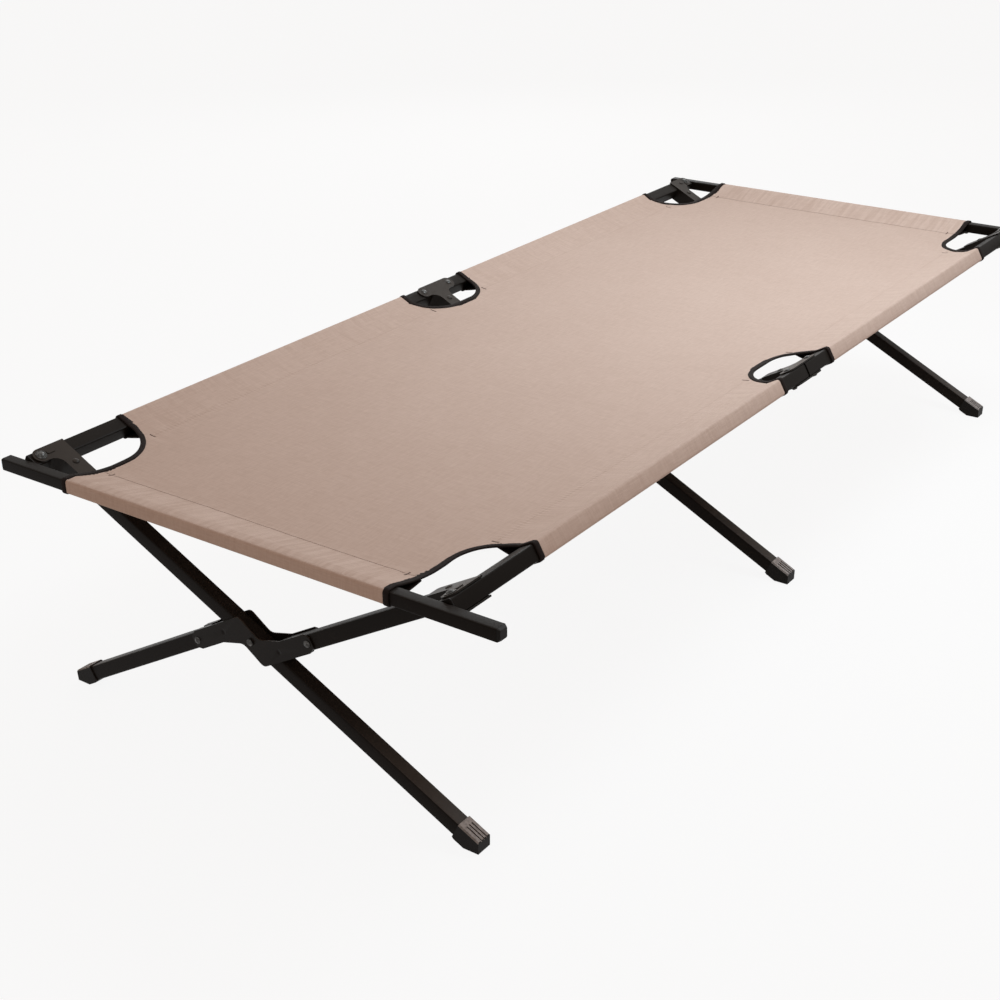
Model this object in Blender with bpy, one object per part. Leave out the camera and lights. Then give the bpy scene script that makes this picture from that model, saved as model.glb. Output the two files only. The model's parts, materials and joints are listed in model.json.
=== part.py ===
# Folding camping cot: two tube rails, three sets of crossed legs, two pull-off end bars
# and a sling sewn round them. Metres, +Z up, +X along the cot, +Y toward frame A's rail.
# The origin is on the floor, under the middle of the end bars.

import math

import bmesh
import bpy
from mathutils import Matrix, Vector

# Overall sizes
LENGTH = 1.954               # over the outer faces of the two end bars
RAIL_SPACING = 0.756         # between the centre lines of the two rails
RAIL_HEIGHT = 0.385          # rail centre lines above the floor
PIVOT_HEIGHT = 0.1965        # leg pivots above the floor
LEG_INSET = 0.072            # end leg sets in from the end bars' outer faces

# Tubes
RAIL_WIDTH = 0.0255
RAIL_DEPTH = 0.024
LEG_WIDTH = 0.0225           # along the cot
LEG_DEPTH = 0.024
TUBE_WALL = 0.0012
TUBE_CORNER = 0.003
RAIL_JOINT_GAP = 0.0045      # between a rail's two halves, inside the middle bracket
HALF_LEG_OFFSET = 0.0255     # split leg's halves beside the line through the pivot
HALF_LEG_START = 0.046       # from the pivot to the inner end of each half leg

# End bars
BAR_LENGTH = 0.889
BAR_SIZE = 0.019
BAR_WALL = 0.0012
BAR_CORNER = 0.0025
BAR_SHIFT = 0.024            # bars reach this much farther past frame B's rail
BAR_PLUG_FLANGE = 0.004
BAR_PLUG_INSERT = 0.016
BAR_PLUG_BEVEL = 0.0025

# Rail end plugs and the pegs that carry the bars
RAIL_PLUG_FLANGE = 0.002
RAIL_PLUG_INSERT = 0.020
PEG_RADIUS = 0.004
PEG_LENGTH = 0.010

# Stamped brackets
BRACKET_SHEET = 0.0025
BRACKET_WALL = 0.0022
ARM_LENGTH = 0.066           # from the rail's centre line down the leg
ARM_END_RADIUS = 0.004
ARM_FILLET = 0.016
MID_RIVET_OFFSET = 0.0365    # rail rivets each side of the middle leg
BOSS_OFFSET = 0.036          # end bracket's rail rivet, outward of the leg
LEG_RIVET_DROP = 0.034       # leg rivet from the rail's centre line
RAIL_TO_LEG_GAP = 0.0015     # between the rail's side and the leg's top end
RIB_LENGTH = 0.015           # pressed up between an end bracket's boss and its arm
RIB_WIDTH = 0.0065
RIB_HEIGHT = 0.0012
RIB_OFFSET = 0.0172          # from the boss to the rib's middle

# Plates at the leg pivots
LINK_SHEET = 0.002
LINK_REACH = 0.1175          # from the pivot to the plate's end
LINK_TAPER = 0.0115          # length of the narrowing end
LINK_END_WIDTH = 0.017
LINK_WEB = 0.0393            # length of the slanting edge in the plate's hollow
LINK_NECK = 0.0167           # where the neck's edge meets the slanting edge
LINK_NECK_DROP = 0.0104      # and how far that is below the arm's edge
LINK_SHOULDER = 0.002        # where the neck's edge meets the shoulder
LINK_SHOULDER_RADIUS = 0.010
LINK_HOLLOW_RADIUS = 0.014
LINK_END_RADIUS = 0.007
LINK_CORNER = 0.003
LINK_RIVET_REACH = 0.1085
LINK_LIP_START = 0.071
LINK_LIP_WIDTH = 0.008
DIMPLE_REACH = 0.046
DIMPLE_RADIUS = 0.0052
DIMPLE_DEPTH = 0.0013

# Rivets
RIVET_RADIUS = 0.003
RIVET_HEAD_RADIUS = 0.0058
RIVET_HEAD_HEIGHT = 0.0025
RIVET_TAIL_RADIUS = 0.0045
RIVET_TAIL_HEIGHT = 0.0035
BOSS_WASHER_RADIUS = 0.0088
BOSS_WASHER_SHEET = 0.0008
PIVOT_RADIUS = 0.004
PIVOT_HEAD_RADIUS = 0.0068

# Foot caps
CAP_WALL = 0.002
CAP_SOCKET = 0.020           # how far the leg goes into the cap
CAP_NOSE = 0.016             # cap's top face beyond the leg's end
CAP_SOLE_LENGTH = 0.025
CAP_FLOOR = 0.0025           # leg's lowest corner above the floor
CAP_HEEL = 0.004
CAP_BEVEL = 0.002
CAP_TOE_RADIUS = 0.0025
GROOVE_COUNT = 3
GROOVE_SPACING = 0.0055
GROOVE_WIDTH = 0.0021
GROOVE_DEPTH = 0.0016
GROOVE_START = 0.009         # from the cap's back edge

# Sling
CLOTH = 0.0012               # cloth with its seams pressed flat
CLOTH_GAP = 0.0005           # between the cloth and the tube inside it
SLEEVE_SEAM = 0.0595         # from the rail's centre line to the sleeve's seam
HEM_SEAM = 0.0585            # from the bar's centre line to the hem's seam
SLING_DROP = 0.004           # seams below the tubes' centre lines
SLING_DIP = 0.005            # further drop in the middle of the bed
SEAM_TUCK = 0.004            # turned edge ends this far short of its seam
SLEEVE_END = 0.195           # sleeves end this far in from the bars' outer faces
HEM_END = 0.084              # hems end this far in from the rails' centre lines
CORNER_CUT_RADIUS = 0.078
MID_CUT_HALF = 0.083
MID_CUT_DEPTH = 0.069        # from the rail's centre line inward
MID_CUT_RADIUS = 0.062
BED_CELLS = 8

# Fits
SEAT_GAP = 0.0003            # pieces that touch
RUNNING_GAP = 0.0004         # pieces that turn or slide on each other

# Fineness of round shapes
CORNER_STEPS = 2
ARC_STEP = math.radians(18)
RIVET_SIDES = 12
PIN_SIDES = 20

# Sizes that follow
half_spacing = RAIL_SPACING / 2
leg_spacing = LENGTH / 2 - LEG_INSET
rise = RAIL_HEIGHT - PIVOT_HEIGHT
pivot_shift = HALF_LEG_OFFSET ** 2 / (4 * half_spacing)
angle_a = math.atan2(rise, half_spacing - pivot_shift)
reach_to_b = math.hypot(half_spacing + pivot_shift, rise)
angle_b = math.atan2(rise, half_spacing + pivot_shift) + math.asin(HALF_LEG_OFFSET / reach_to_b)
rail_reach = math.hypot(half_spacing - pivot_shift, rise)
leg_top = rail_reach - RAIL_WIDTH / 2 - RAIL_TO_LEG_GAP
bar_face = LENGTH / 2 - BAR_SIZE
rail_end = bar_face - 2 * SEAT_GAP - RAIL_PLUG_FLANGE
boss_x = leg_spacing + BOSS_OFFSET
bracket_half = RAIL_DEPTH / 2 + SEAT_GAP + BRACKET_SHEET
link_half = LEG_DEPTH / 2 + SEAT_GAP + LINK_SHEET
link_inner = LEG_WIDTH / 2 + RUNNING_GAP
link_outer = link_inner + LINK_SHEET


class Frame:
    # One swinging frame. Its local axes are x along the rail, u up the leg and n across
    # the leg, upward. Frame B faces the other way, so its local x runs against +X.

    def __init__(self, name, angle, turned_round, rail_n, foot_n):
        self.name = name
        self.angle = angle
        self.rail_n = rail_n
        self.foot_n = foot_n
        self.sense = -1 if turned_round else 1
        self.empty = bpy.data.objects.new(name, None)
        bpy.context.collection.objects.link(self.empty)
        placed = Matrix.Translation((0, BAR_SHIFT + pivot_shift, PIVOT_HEIGHT))
        placed = placed @ Matrix.Rotation(math.pi if turned_round else 0, 4, "Z")
        self.empty.matrix_world = placed @ Matrix.Rotation(angle, 4, "X")

    def floor_u(self, n):
        # where the floor cuts a line along the leg, at this n
        return -(PIVOT_HEIGHT + n * math.cos(self.angle)) / math.sin(self.angle)

    def floor_n(self, u):
        return -(PIVOT_HEIGHT + u * math.sin(self.angle)) / math.cos(self.angle)

    def leg_foot(self):
        # end of the leg tube inside its foot cap
        low_side = self.foot_n - LEG_DEPTH / 2
        return self.floor_u(low_side) + CAP_FLOOR / math.sin(self.angle)


def make_material(name, colour, roughness, metallic):
    material = bpy.data.materials.new(name)
    material.use_nodes = True
    shader = material.node_tree.nodes["Principled BSDF"]
    shader.inputs["Base Color"].default_value = (*colour, 1)
    shader.inputs["Roughness"].default_value = roughness
    shader.inputs["Metallic"].default_value = metallic
    return material


# Outlines, as lists of (a, b) points that run anticlockwise

def arc(centre, radius, start, end):
    count = max(2, math.ceil(abs(end - start) / ARC_STEP) + 1)
    angles = [start + (end - start) * step / (count - 1) for step in range(count)]
    return [(centre[0] + radius * math.cos(t), centre[1] + radius * math.sin(t)) for t in angles]


def rounded(corners):
    # a polygon whose corners are (a, b, radius)
    outline = []
    for index, (a, b, radius) in enumerate(corners):
        corner = Vector((a, b))
        before = Vector(corners[index - 1][:2]) - corner
        after = Vector(corners[(index + 1) % len(corners)][:2]) - corner
        if radius == 0:
            outline.append((a, b))
            continue
        before.normalize()
        after.normalize()
        half_angle = before.angle(after) / 2
        run = radius / math.tan(half_angle)
        centre = corner + (before + after).normalized() * radius / math.sin(half_angle)
        first = corner + before * run - centre
        last = corner + after * run - centre
        start = math.atan2(first.y, first.x)
        turn = math.remainder(math.atan2(last.y, last.x) - start, 2 * math.pi)
        outline += arc(centre, radius, start, start + turn)
    return outline


def box_outline(a0, a1, b0, b1, radius=0):
    return rounded([(a0, b0, radius), (a1, b0, radius), (a1, b1, radius), (a0, b1, radius)])


def tube_corner_outline(width, height, radius, centre=(0, 0)):
    a, b = centre
    outline = []
    for turn, (sign_a, sign_b) in enumerate(((1, 1), (-1, 1), (-1, -1), (1, -1))):
        middle = (a + sign_a * (width / 2 - radius), b + sign_b * (height / 2 - radius))
        for step in range(CORNER_STEPS + 1):
            t = (turn + step / CORNER_STEPS) * math.pi / 2
            outline.append((middle[0] + radius * math.cos(t), middle[1] + radius * math.sin(t)))
    return outline


# Solids

def point(along, a, b, c):
    # a, b, c are the next two axes and the extrusion axis, in cyclic order
    return {"x": (c, a, b), "u": (b, c, a), "n": (a, b, c)}[along]


def add_object(name, mesh, parent=None):
    for face in mesh.faces:
        face.smooth = True
    data = bpy.data.meshes.new(name)
    mesh.to_mesh(data)
    mesh.free()
    data.set_sharp_from_angle(angle=math.radians(32))
    obj = bpy.data.objects.new(name, data)
    bpy.context.collection.objects.link(obj)
    obj.parent = parent
    return obj


def prism(name, outline, start, end, along, hole=None, parent=None):
    # extrudes an outline, or the ring between it and a hole of as many points
    mesh = bmesh.new()
    loop = [mesh.verts.new(point(along, a, b, start)) for a, b in outline]
    if hole:
        inner = [mesh.verts.new(point(along, a, b, start)) for a, b in hole]
        count = len(loop)
        for i in range(count):
            j = (i + 1) % count
            mesh.faces.new((loop[i], loop[j], inner[j], inner[i]))
    else:
        mesh.faces.new(loop)
    grown = bmesh.ops.extrude_face_region(mesh, geom=mesh.faces[:])["geom"]
    moved = [item for item in grown if isinstance(item, bmesh.types.BMVert)]
    bmesh.ops.translate(mesh, verts=moved, vec=point(along, 0, 0, end - start))
    bmesh.ops.recalc_face_normals(mesh, faces=mesh.faces[:])
    return add_object(name, mesh, parent)


def turned(name, profile, sides, along, centre, parent=None):
    # spins (radius, height) points, first and last on the axis
    mesh = bmesh.new()
    verts = [mesh.verts.new((radius, 0, height)) for radius, height in profile]
    edges = [mesh.edges.new(pair) for pair in zip(verts, verts[1:])]
    bmesh.ops.spin(mesh, geom=verts + edges, axis=(0, 0, 1), cent=(0, 0, 0),
                   angle=2 * math.pi, steps=sides)
    bmesh.ops.remove_doubles(mesh, verts=mesh.verts[:], dist=1e-6)
    bmesh.ops.recalc_face_normals(mesh, faces=mesh.faces[:])
    for vert in mesh.verts:
        x, y, z = vert.co
        vert.co = Vector(point(along, x, y, z)) + Vector(centre)
    return add_object(name, mesh, parent)


def combine(obj, others, operation):
    for other in others:
        modifier = obj.modifiers.new(operation.lower(), "BOOLEAN")
        modifier.operation = operation
        modifier.solver = "EXACT"
        modifier.object = other
        other.hide_render = True
        other.display_type = "WIRE"
    apply_modifiers(obj)
    for other in others:
        bpy.data.objects.remove(other)


def apply_modifiers(obj):
    bpy.context.view_layer.update()
    graph = bpy.context.evaluated_depsgraph_get()
    finished = bpy.data.meshes.new_from_object(obj.evaluated_get(graph))
    obj.modifiers.clear()
    obj.data = finished


def bevel(obj, width, segments=1, limit=math.radians(40)):
    modifier = obj.modifiers.new("bevel", "BEVEL")
    modifier.width = width
    modifier.segments = segments
    modifier.limit_method = "ANGLE"
    modifier.angle_limit = limit
    apply_modifiers(obj)


def drill(obj, spots, radius, along, length, parent=None):
    # straight round holes, centred on spots
    cutters = []
    for spot in spots:
        profile = [(0, -length / 2), (radius, -length / 2), (radius, length / 2), (0, length / 2)]
        cutters.append(turned("cutter", profile, RIVET_SIDES, along, spot, parent))
    combine(obj, cutters, "DIFFERENCE")


def finish(obj, material):
    obj.data.materials.clear()
    obj.data.materials.append(material)
    return obj


# Fasteners

def rivet(name, spot, grip, along, parent, gap=SEAT_GAP, head_radius=RIVET_HEAD_RADIUS,
          radius=RIVET_RADIUS, tail_radius=RIVET_TAIL_RADIUS, sides=RIVET_SIDES, washer=0):
    # domed head above the grip, closed tail below it, and a washer in one piece with the head
    top = grip / 2 + gap
    base = top + (BOSS_WASHER_SHEET if washer else 0)
    collar = [(washer, top), (washer, base)] if washer else []
    head = [(head_radius * math.cos(t), base + RIVET_HEAD_HEIGHT * math.sin(t))
            for t in (0, math.radians(35), math.radians(68))]
    tail = [(0, -top - RIVET_TAIL_HEIGHT), (tail_radius * 0.7, -top - RIVET_TAIL_HEIGHT),
            (tail_radius, -top - RIVET_TAIL_HEIGHT * 0.6), (tail_radius, -top)]
    profile = tail + [(radius, -top), (radius, top)] + collar + head
    profile.append((0, base + RIVET_HEAD_HEIGHT))
    return turned(name, profile, sides, along, spot, parent)


def bracket_place(frame, side):
    # the leg's x in the frame, and the sign that points outward along the rail
    outward = side * frame.sense
    return outward * leg_spacing, (outward or 1)


def rail_rivet_places(frame, side):
    leg_x, outward = bracket_place(frame, side)
    offsets = [BOSS_OFFSET] if side else [-MID_RIVET_OFFSET, MID_RIVET_OFFSET]
    return [(leg_x + outward * offset, rail_reach, frame.rail_n) for offset in offsets]


# Frame pieces

def make_rail(frame, side, label, material):
    outward = side * frame.sense
    start, end = sorted((outward * RAIL_JOINT_GAP / 2, outward * rail_end))
    centre = (rail_reach, frame.rail_n)
    outer = tube_corner_outline(RAIL_WIDTH, RAIL_DEPTH, TUBE_CORNER, centre)
    inner = tube_corner_outline(RAIL_WIDTH - 2 * TUBE_WALL, RAIL_DEPTH - 2 * TUBE_WALL,
                                TUBE_CORNER - TUBE_WALL / 2, centre)
    rail = prism(f"rail_{label}", outer, start, end, "x", inner, frame.empty)
    holes = [outward * MID_RIVET_OFFSET, outward * boss_x]
    spots = [(x, rail_reach, frame.rail_n) for x in holes]
    drill(rail, spots, RIVET_RADIUS + SEAT_GAP, "n", 2 * RAIL_DEPTH, frame.empty)
    return finish(rail, material)


def plate_outline(kind, outward, inset=0):
    # The top plate's outline, or that of the room inside its folded-down walls.
    # Points are (x, u) from the leg's and the rail's centre lines.
    edge = RAIL_WIDTH / 2
    arm = LEG_WIDTH / 2 + SEAT_GAP + BRACKET_WALL - inset
    fillet = ARM_FILLET + inset
    corner = arm + fillet
    far = (MID_RIVET_OFFSET if kind == "mid" else BOSS_OFFSET)
    end = -ARM_LENGTH - inset
    tip = 0 if inset else ARM_END_RADIUS
    points = arc((far, 0), edge, math.pi / 2, -math.pi / 2)
    points += arc((corner, -edge - inset - fillet + inset), fillet, math.pi / 2, math.pi)
    points += arc((arm - tip, end + tip), tip, 0, -math.pi / 2) if tip else [(arm, end)]
    if kind == "mid":
        points += [(-x, u) for x, u in reversed(points)]
    else:
        points += arc((tip - arm, end + tip), tip, -math.pi / 2, -math.pi) if tip else [(-arm, end)]
        points += [(-arm, edge)]
    if outward < 0:
        return [(-x, u) for x, u in points]
    return points[::-1]


def make_bracket(frame, side, label, material):
    # a folded plate with the leg's own rivet closed in it
    kind = "end" if side else "mid"
    leg_x, outward = bracket_place(frame, side)
    centre = (leg_x, rail_reach)
    middle = frame.rail_n

    def placed(points):
        return [(centre[0] + x, centre[1] + u) for x, u in points]

    bracket = prism(f"bracket_{label}", placed(plate_outline(kind, outward)),
                    middle - bracket_half, middle + bracket_half, "n", None, frame.empty)
    room = RAIL_DEPTH / 2 + SEAT_GAP
    leg_room = prism("cutter", placed(plate_outline(kind, outward, BRACKET_WALL)),
                     middle - room, middle + room, "n", None, frame.empty)
    rail_room = prism("cutter", box_outline(rail_reach - RAIL_WIDTH / 2 - SEAT_GAP,
                                            rail_reach + RAIL_WIDTH, middle - room, middle + room),
                      leg_x - leg_spacing / 2, leg_x + leg_spacing / 2, "x", None, frame.empty)
    combine(bracket, [leg_room, rail_room], "DIFFERENCE")
    drill(bracket, rail_rivet_places(frame, side), RIVET_RADIUS + SEAT_GAP, "n",
          4 * bracket_half, frame.empty)
    leg_rivet = rivet("leg_rivet", (leg_x, rail_reach - LEG_RIVET_DROP, middle), 2 * bracket_half,
                      "n", frame.empty, -SEAT_GAP)
    raised = [leg_rivet]
    if side:
        middle_x = outward * (BOSS_OFFSET - RIB_OFFSET)
        rib = box_outline(middle_x - RIB_LENGTH / 2, middle_x + RIB_LENGTH / 2, -RIB_WIDTH / 2,
                          RIB_WIDTH / 2, RIB_WIDTH * 0.48)
        raised.append(prism("rib", placed(rib), middle + bracket_half - BRACKET_SHEET / 2,
                            middle + bracket_half + RIB_HEIGHT, "n", None, frame.empty))
    combine(bracket, raised, "UNION")
    return finish(bracket, material)


def make_rail_rivets(frame, side, label, material):
    places = rail_rivet_places(frame, side)
    for index, spot in enumerate(places):
        name = f"rail_rivet_{label}" if side else f"rail_rivet_{label}_{index + 1}"
        washer = BOSS_WASHER_RADIUS if side else 0
        piece = rivet(name, spot, 2 * bracket_half, "n", frame.empty, washer=washer)
        finish(piece, material)


def make_leg(frame, side, name, start, end, middle, holes, material):
    leg_x, _ = bracket_place(frame, side)
    outer = tube_corner_outline(LEG_DEPTH, LEG_WIDTH, TUBE_CORNER, (middle, leg_x))
    inner = tube_corner_outline(LEG_DEPTH - 2 * TUBE_WALL, LEG_WIDTH - 2 * TUBE_WALL,
                                TUBE_CORNER - TUBE_WALL / 2, (middle, leg_x))
    leg = prism(name, outer, start, end, "u", inner, frame.empty)
    for u, radius, along, sides in holes:
        length = 2 * LEG_DEPTH
        profile = [(0, -length / 2), (radius, -length / 2), (radius, length / 2), (0, length / 2)]
        cutter = turned("cutter", profile, sides, along, (leg_x, u, middle), frame.empty)
        combine(leg, [cutter], "DIFFERENCE")
    return finish(leg, material)


def make_cap(frame, side, name, material):
    leg_x, _ = bracket_place(frame, side)
    foot = frame.leg_foot()
    back = foot + CAP_SOCKET
    top = frame.foot_n + LEG_DEPTH / 2 + CAP_WALL
    low = frame.foot_n - LEG_DEPTH / 2 - CAP_WALL
    heel = frame.floor_u(low)
    toe = heel - CAP_SOLE_LENGTH * math.cos(frame.angle)
    corners = [(foot - CAP_NOSE, top, CAP_TOE_RADIUS), (toe, frame.floor_n(toe), 0), (heel, low, 0),
               (back - CAP_HEEL, low, 0), (back, low + CAP_WALL - SEAT_GAP, 0), (back, top, 0)]
    half = LEG_WIDTH / 2 + CAP_WALL
    cap = prism(name, rounded(corners), leg_x - half, leg_x + half, "x", None, frame.empty)
    slope = [(half - 2 * CAP_BEVEL, top + CAP_BEVEL), (half + CAP_BEVEL, top + CAP_BEVEL),
             (half + CAP_BEVEL, top - 2 * CAP_BEVEL)]
    cutters = []
    for sign in (-1, 1):
        edge = [(n, leg_x + sign * x) for x, n in slope]
        cutters.append(prism("cutter", edge, foot - 2 * CAP_NOSE, back + CAP_HEEL, "u", None,
                             frame.empty))
    for index in range(GROOVE_COUNT):
        x = leg_x + (index - (GROOVE_COUNT - 1) / 2) * GROOVE_SPACING
        groove = box_outline(top - GROOVE_DEPTH, top + GROOVE_DEPTH, x - GROOVE_WIDTH / 2,
                             x + GROOVE_WIDTH / 2)
        cutters.append(prism("cutter", groove, foot - 2 * CAP_NOSE, back - GROOVE_START, "u", None,
                             frame.empty))
    socket = tube_corner_outline(LEG_DEPTH + 2 * SEAT_GAP, LEG_WIDTH + 2 * SEAT_GAP,
                                 TUBE_CORNER, (frame.foot_n, leg_x))
    cutters.append(prism("cutter", socket, foot - SEAT_GAP, back + CAP_HEEL, "u", None, frame.empty))
    combine(cap, cutters, "DIFFERENCE")
    return finish(cap, material)


def make_rail_plug(frame, side, label, material):
    # fills the rail's end and carries the peg that goes into the bar
    outward = side * frame.sense
    centre = (rail_reach, frame.rail_n)
    bore = 2 * (TUBE_WALL + SEAT_GAP)

    def along_rail(outline, start, end):
        low, high = sorted((outward * start, outward * end))
        return prism(f"rail_plug_{label}", outline, low, high, "x", None, frame.empty)

    flange_start = rail_end + SEAT_GAP
    flange_end = flange_start + RAIL_PLUG_FLANGE
    flange = tube_corner_outline(RAIL_WIDTH, RAIL_DEPTH, TUBE_CORNER, centre)
    core = tube_corner_outline(RAIL_WIDTH - bore, RAIL_DEPTH - bore, TUBE_CORNER / 2, centre)
    plug = along_rail(flange, flange_start, flange_end)
    insert = along_rail(core, rail_end - RAIL_PLUG_INSERT, flange_start + RAIL_PLUG_FLANGE / 2)
    peg_profile = [(0, -RAIL_PLUG_FLANGE / 2), (PEG_RADIUS, -RAIL_PLUG_FLANGE / 2),
                   (PEG_RADIUS, PEG_LENGTH - PEG_RADIUS / 3),
                   (PEG_RADIUS * 2 / 3, PEG_LENGTH), (0, PEG_LENGTH)]
    peg_profile = [(radius, outward * height) for radius, height in peg_profile]
    peg = turned("peg", peg_profile, PIN_SIDES, "x", (outward * flange_end, *centre), frame.empty)
    combine(plug, [insert, peg], "UNION")
    drill(plug, [(outward * boss_x, *centre)], RIVET_RADIUS + SEAT_GAP, "n", 2 * RAIL_DEPTH,
          frame.empty)
    return finish(plug, material)


# Leg pivots

def link_outline():
    arm_low = HALF_LEG_OFFSET - link_half
    arm_high = HALF_LEG_OFFSET + link_half
    taper_start = LINK_REACH - LINK_TAPER
    half = [(LINK_REACH, -HALF_LEG_OFFSET + LINK_END_WIDTH / 2, LINK_END_RADIUS),
            (taper_start, -arm_low, LINK_CORNER),
            (LINK_NECK + LINK_WEB, -arm_low, LINK_CORNER),
            (LINK_NECK, -arm_low + LINK_NECK_DROP, LINK_HOLLOW_RADIUS),
            (-LINK_SHOULDER, arm_high, LINK_SHOULDER_RADIUS),
            (-taper_start, arm_high, LINK_CORNER),
            (-LINK_REACH, HALF_LEG_OFFSET + LINK_END_WIDTH / 2, LINK_END_RADIUS)]
    return rounded(half + [(-u, -n, radius) for u, n, radius in half])


def make_link(frame, side, face, name, material):
    # S-shaped plate beside leg A that carries both halves of the split leg
    leg_x, _ = bracket_place(frame, side)
    start, end = sorted((leg_x + face * link_inner, leg_x + face * link_outer))
    link = prism(name, link_outline(), start, end, "x", None, frame.empty)
    lips = []
    lip_low = HALF_LEG_OFFSET + LEG_DEPTH / 2 + SEAT_GAP
    for half in (-1, 1):
        u0, u1 = sorted((half * LINK_LIP_START, half * (LINK_REACH - LINK_TAPER - LINK_CORNER / 2)))
        n0, n1 = sorted((-half * lip_low, -half * (lip_low + LINK_SHEET)))
        inner = leg_x + face * (link_inner - LINK_LIP_WIDTH)
        x0, x1 = sorted((inner, leg_x + face * (link_inner + LINK_SHEET / 2)))
        lips.append(prism("lip", box_outline(u0, u1, n0, n1), x0, x1, "x", None, frame.empty))
    combine(link, lips, "UNION")
    rivet_spots = [(leg_x, -half * LINK_RIVET_REACH, half * HALF_LEG_OFFSET) for half in (-1, 1)]
    drill(link, rivet_spots, RIVET_RADIUS + SEAT_GAP, "x", 4 * link_outer, frame.empty)
    pivot = [(0, -link_outer * 2), (PIVOT_RADIUS + RUNNING_GAP, -link_outer * 2),
             (PIVOT_RADIUS + RUNNING_GAP, link_outer * 2), (0, link_outer * 2)]
    hole = turned("cutter", pivot, PIN_SIDES, "x", (leg_x, 0, 0), frame.empty)
    dimples = []
    for half in (-1, 1):
        surface = leg_x + face * link_outer
        bowl = [(0, -DIMPLE_DEPTH), (DIMPLE_RADIUS / 2, -DIMPLE_DEPTH), (DIMPLE_RADIUS, 0),
                (DIMPLE_RADIUS, DIMPLE_DEPTH), (0, DIMPLE_DEPTH)]
        bowl = [(radius, face * height) for radius, height in bowl]
        spot = (surface, -half * DIMPLE_REACH, half * HALF_LEG_OFFSET)
        dimples.append(turned("cutter", bowl, RIVET_SIDES, "x", spot, frame.empty))
    combine(link, [hole] + dimples, "DIFFERENCE")
    return finish(link, material)


def make_link_rivets(frame, side, name, material):
    leg_x, _ = bracket_place(frame, side)
    for half, end in ((1, "lower"), (-1, "upper")):
        spot = (leg_x, -half * LINK_RIVET_REACH, half * HALF_LEG_OFFSET)
        finish(rivet(f"{name}_{end}", spot, 2 * link_outer, "x", frame.empty), material)


def make_pivot(frame, side, name, material):
    leg_x, _ = bracket_place(frame, side)
    pin = rivet(name, (leg_x, 0, 0), 2 * link_outer, "x", frame.empty, RUNNING_GAP,
                PIVOT_HEAD_RADIUS, PIVOT_RADIUS, PIVOT_HEAD_RADIUS * 0.8, PIN_SIDES)
    return finish(pin, material)


# End bars. Their outlines are (z, x) and they run along +Y.

def bar_solid(name, outline, start, end, hole=None):
    bar = prism(name, outline, start, end, "n", hole)
    turn = Matrix(((0, 1, 0, 0), (0, 0, 1, 0), (1, 0, 0, 0), (0, 0, 0, 1)))
    bar.data.transform(turn)
    return bar


def peg_holes(side):
    # bar's own coordinates of the two pegs
    return [(0, BAR_SHIFT + sign * half_spacing, 0) for sign in (-1, 1)]


def make_bar(side, label, steel, plastic):
    body = bpy.data.objects.new(f"end_bar_{label}_body", None)
    bpy.context.collection.objects.link(body)
    body.location = (side * (LENGTH / 2 - BAR_SIZE / 2), 0, RAIL_HEIGHT)
    half = BAR_LENGTH / 2
    tube_half = half - BAR_PLUG_FLANGE - SEAT_GAP
    outer = tube_corner_outline(BAR_SIZE, BAR_SIZE, BAR_CORNER)
    bore_size = BAR_SIZE - 2 * BAR_WALL
    inner = tube_corner_outline(bore_size, bore_size, BAR_CORNER / 2)
    bar = bar_solid(f"end_bar_{label}", outer, -tube_half, tube_half, inner)
    cutters = []
    for spot in peg_holes(side):
        profile = [(0, -BAR_WALL), (PEG_RADIUS + RUNNING_GAP, -BAR_WALL),
                   (PEG_RADIUS + RUNNING_GAP, BAR_WALL), (0, BAR_WALL)]
        centre = (-side * (BAR_SIZE - BAR_WALL) / 2, spot[1], 0)
        cutters.append(turned("cutter", profile, PIN_SIDES, "x", centre))
    combine(bar, cutters, "DIFFERENCE")
    bar.parent = body
    finish(bar, steel)
    insert_size = bore_size - 2 * SEAT_GAP
    for sign, end_name in ((-1, "near"), (1, "far")):
        inside, outside = sorted((sign * (half - BAR_PLUG_FLANGE), sign * half))
        plug = bar_solid(f"end_bar_plug_{label}_{end_name}", outer, inside, outside)
        outline = plug.data
        for vert in outline.vertices:
            if abs(abs(vert.co.y) - half) < 1e-6:
                scale = (BAR_SIZE - 2 * BAR_PLUG_BEVEL) / BAR_SIZE
                vert.co.x *= scale
                vert.co.z *= scale
        core = tube_corner_outline(insert_size, insert_size, BAR_CORNER / 2)
        low, high = sorted((sign * (half - BAR_PLUG_FLANGE - BAR_PLUG_INSERT),
                            sign * (half - BAR_PLUG_FLANGE / 2)))
        insert = bar_solid("insert", core, low, high)
        combine(plug, [insert], "UNION")
        plug.parent = body
        finish(plug, plastic)


# Sling: a flat pattern is cut out, then folded round the rails and the bars

def offset_outline(width, height, centre, turn):
    # the tube's outline grown by the cloth's clearance, turned with the tube
    grow = 2 * CLOTH_GAP + CLOTH
    outline = tube_corner_outline(width + grow, height + grow, TUBE_CORNER + grow / 2)
    return [(centre[0] + a * math.cos(turn) - b * math.sin(turn),
             centre[1] + a * math.sin(turn) + b * math.cos(turn)) for a, b in outline]


def with_lengths(points):
    # adds the length along the path and the mitred normal to each point
    stations = []
    run = points[0][0]
    for index, place in enumerate(points):
        if index:
            run += math.dist(points[index - 1], place)
        before = Vector(place) - Vector(points[index - 1]) if index else Vector((1, 0))
        after = Vector(points[index + 1]) - Vector(place) if index + 1 < len(points) else before
        before.normalize()
        after.normalize()
        normal = Vector((-before.y - after.y, before.x + after.x)).normalized()
        normal /= normal.dot(Vector((-before.y, before.x)))
        stations.append((run, Vector(place), normal))
    return stations


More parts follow.
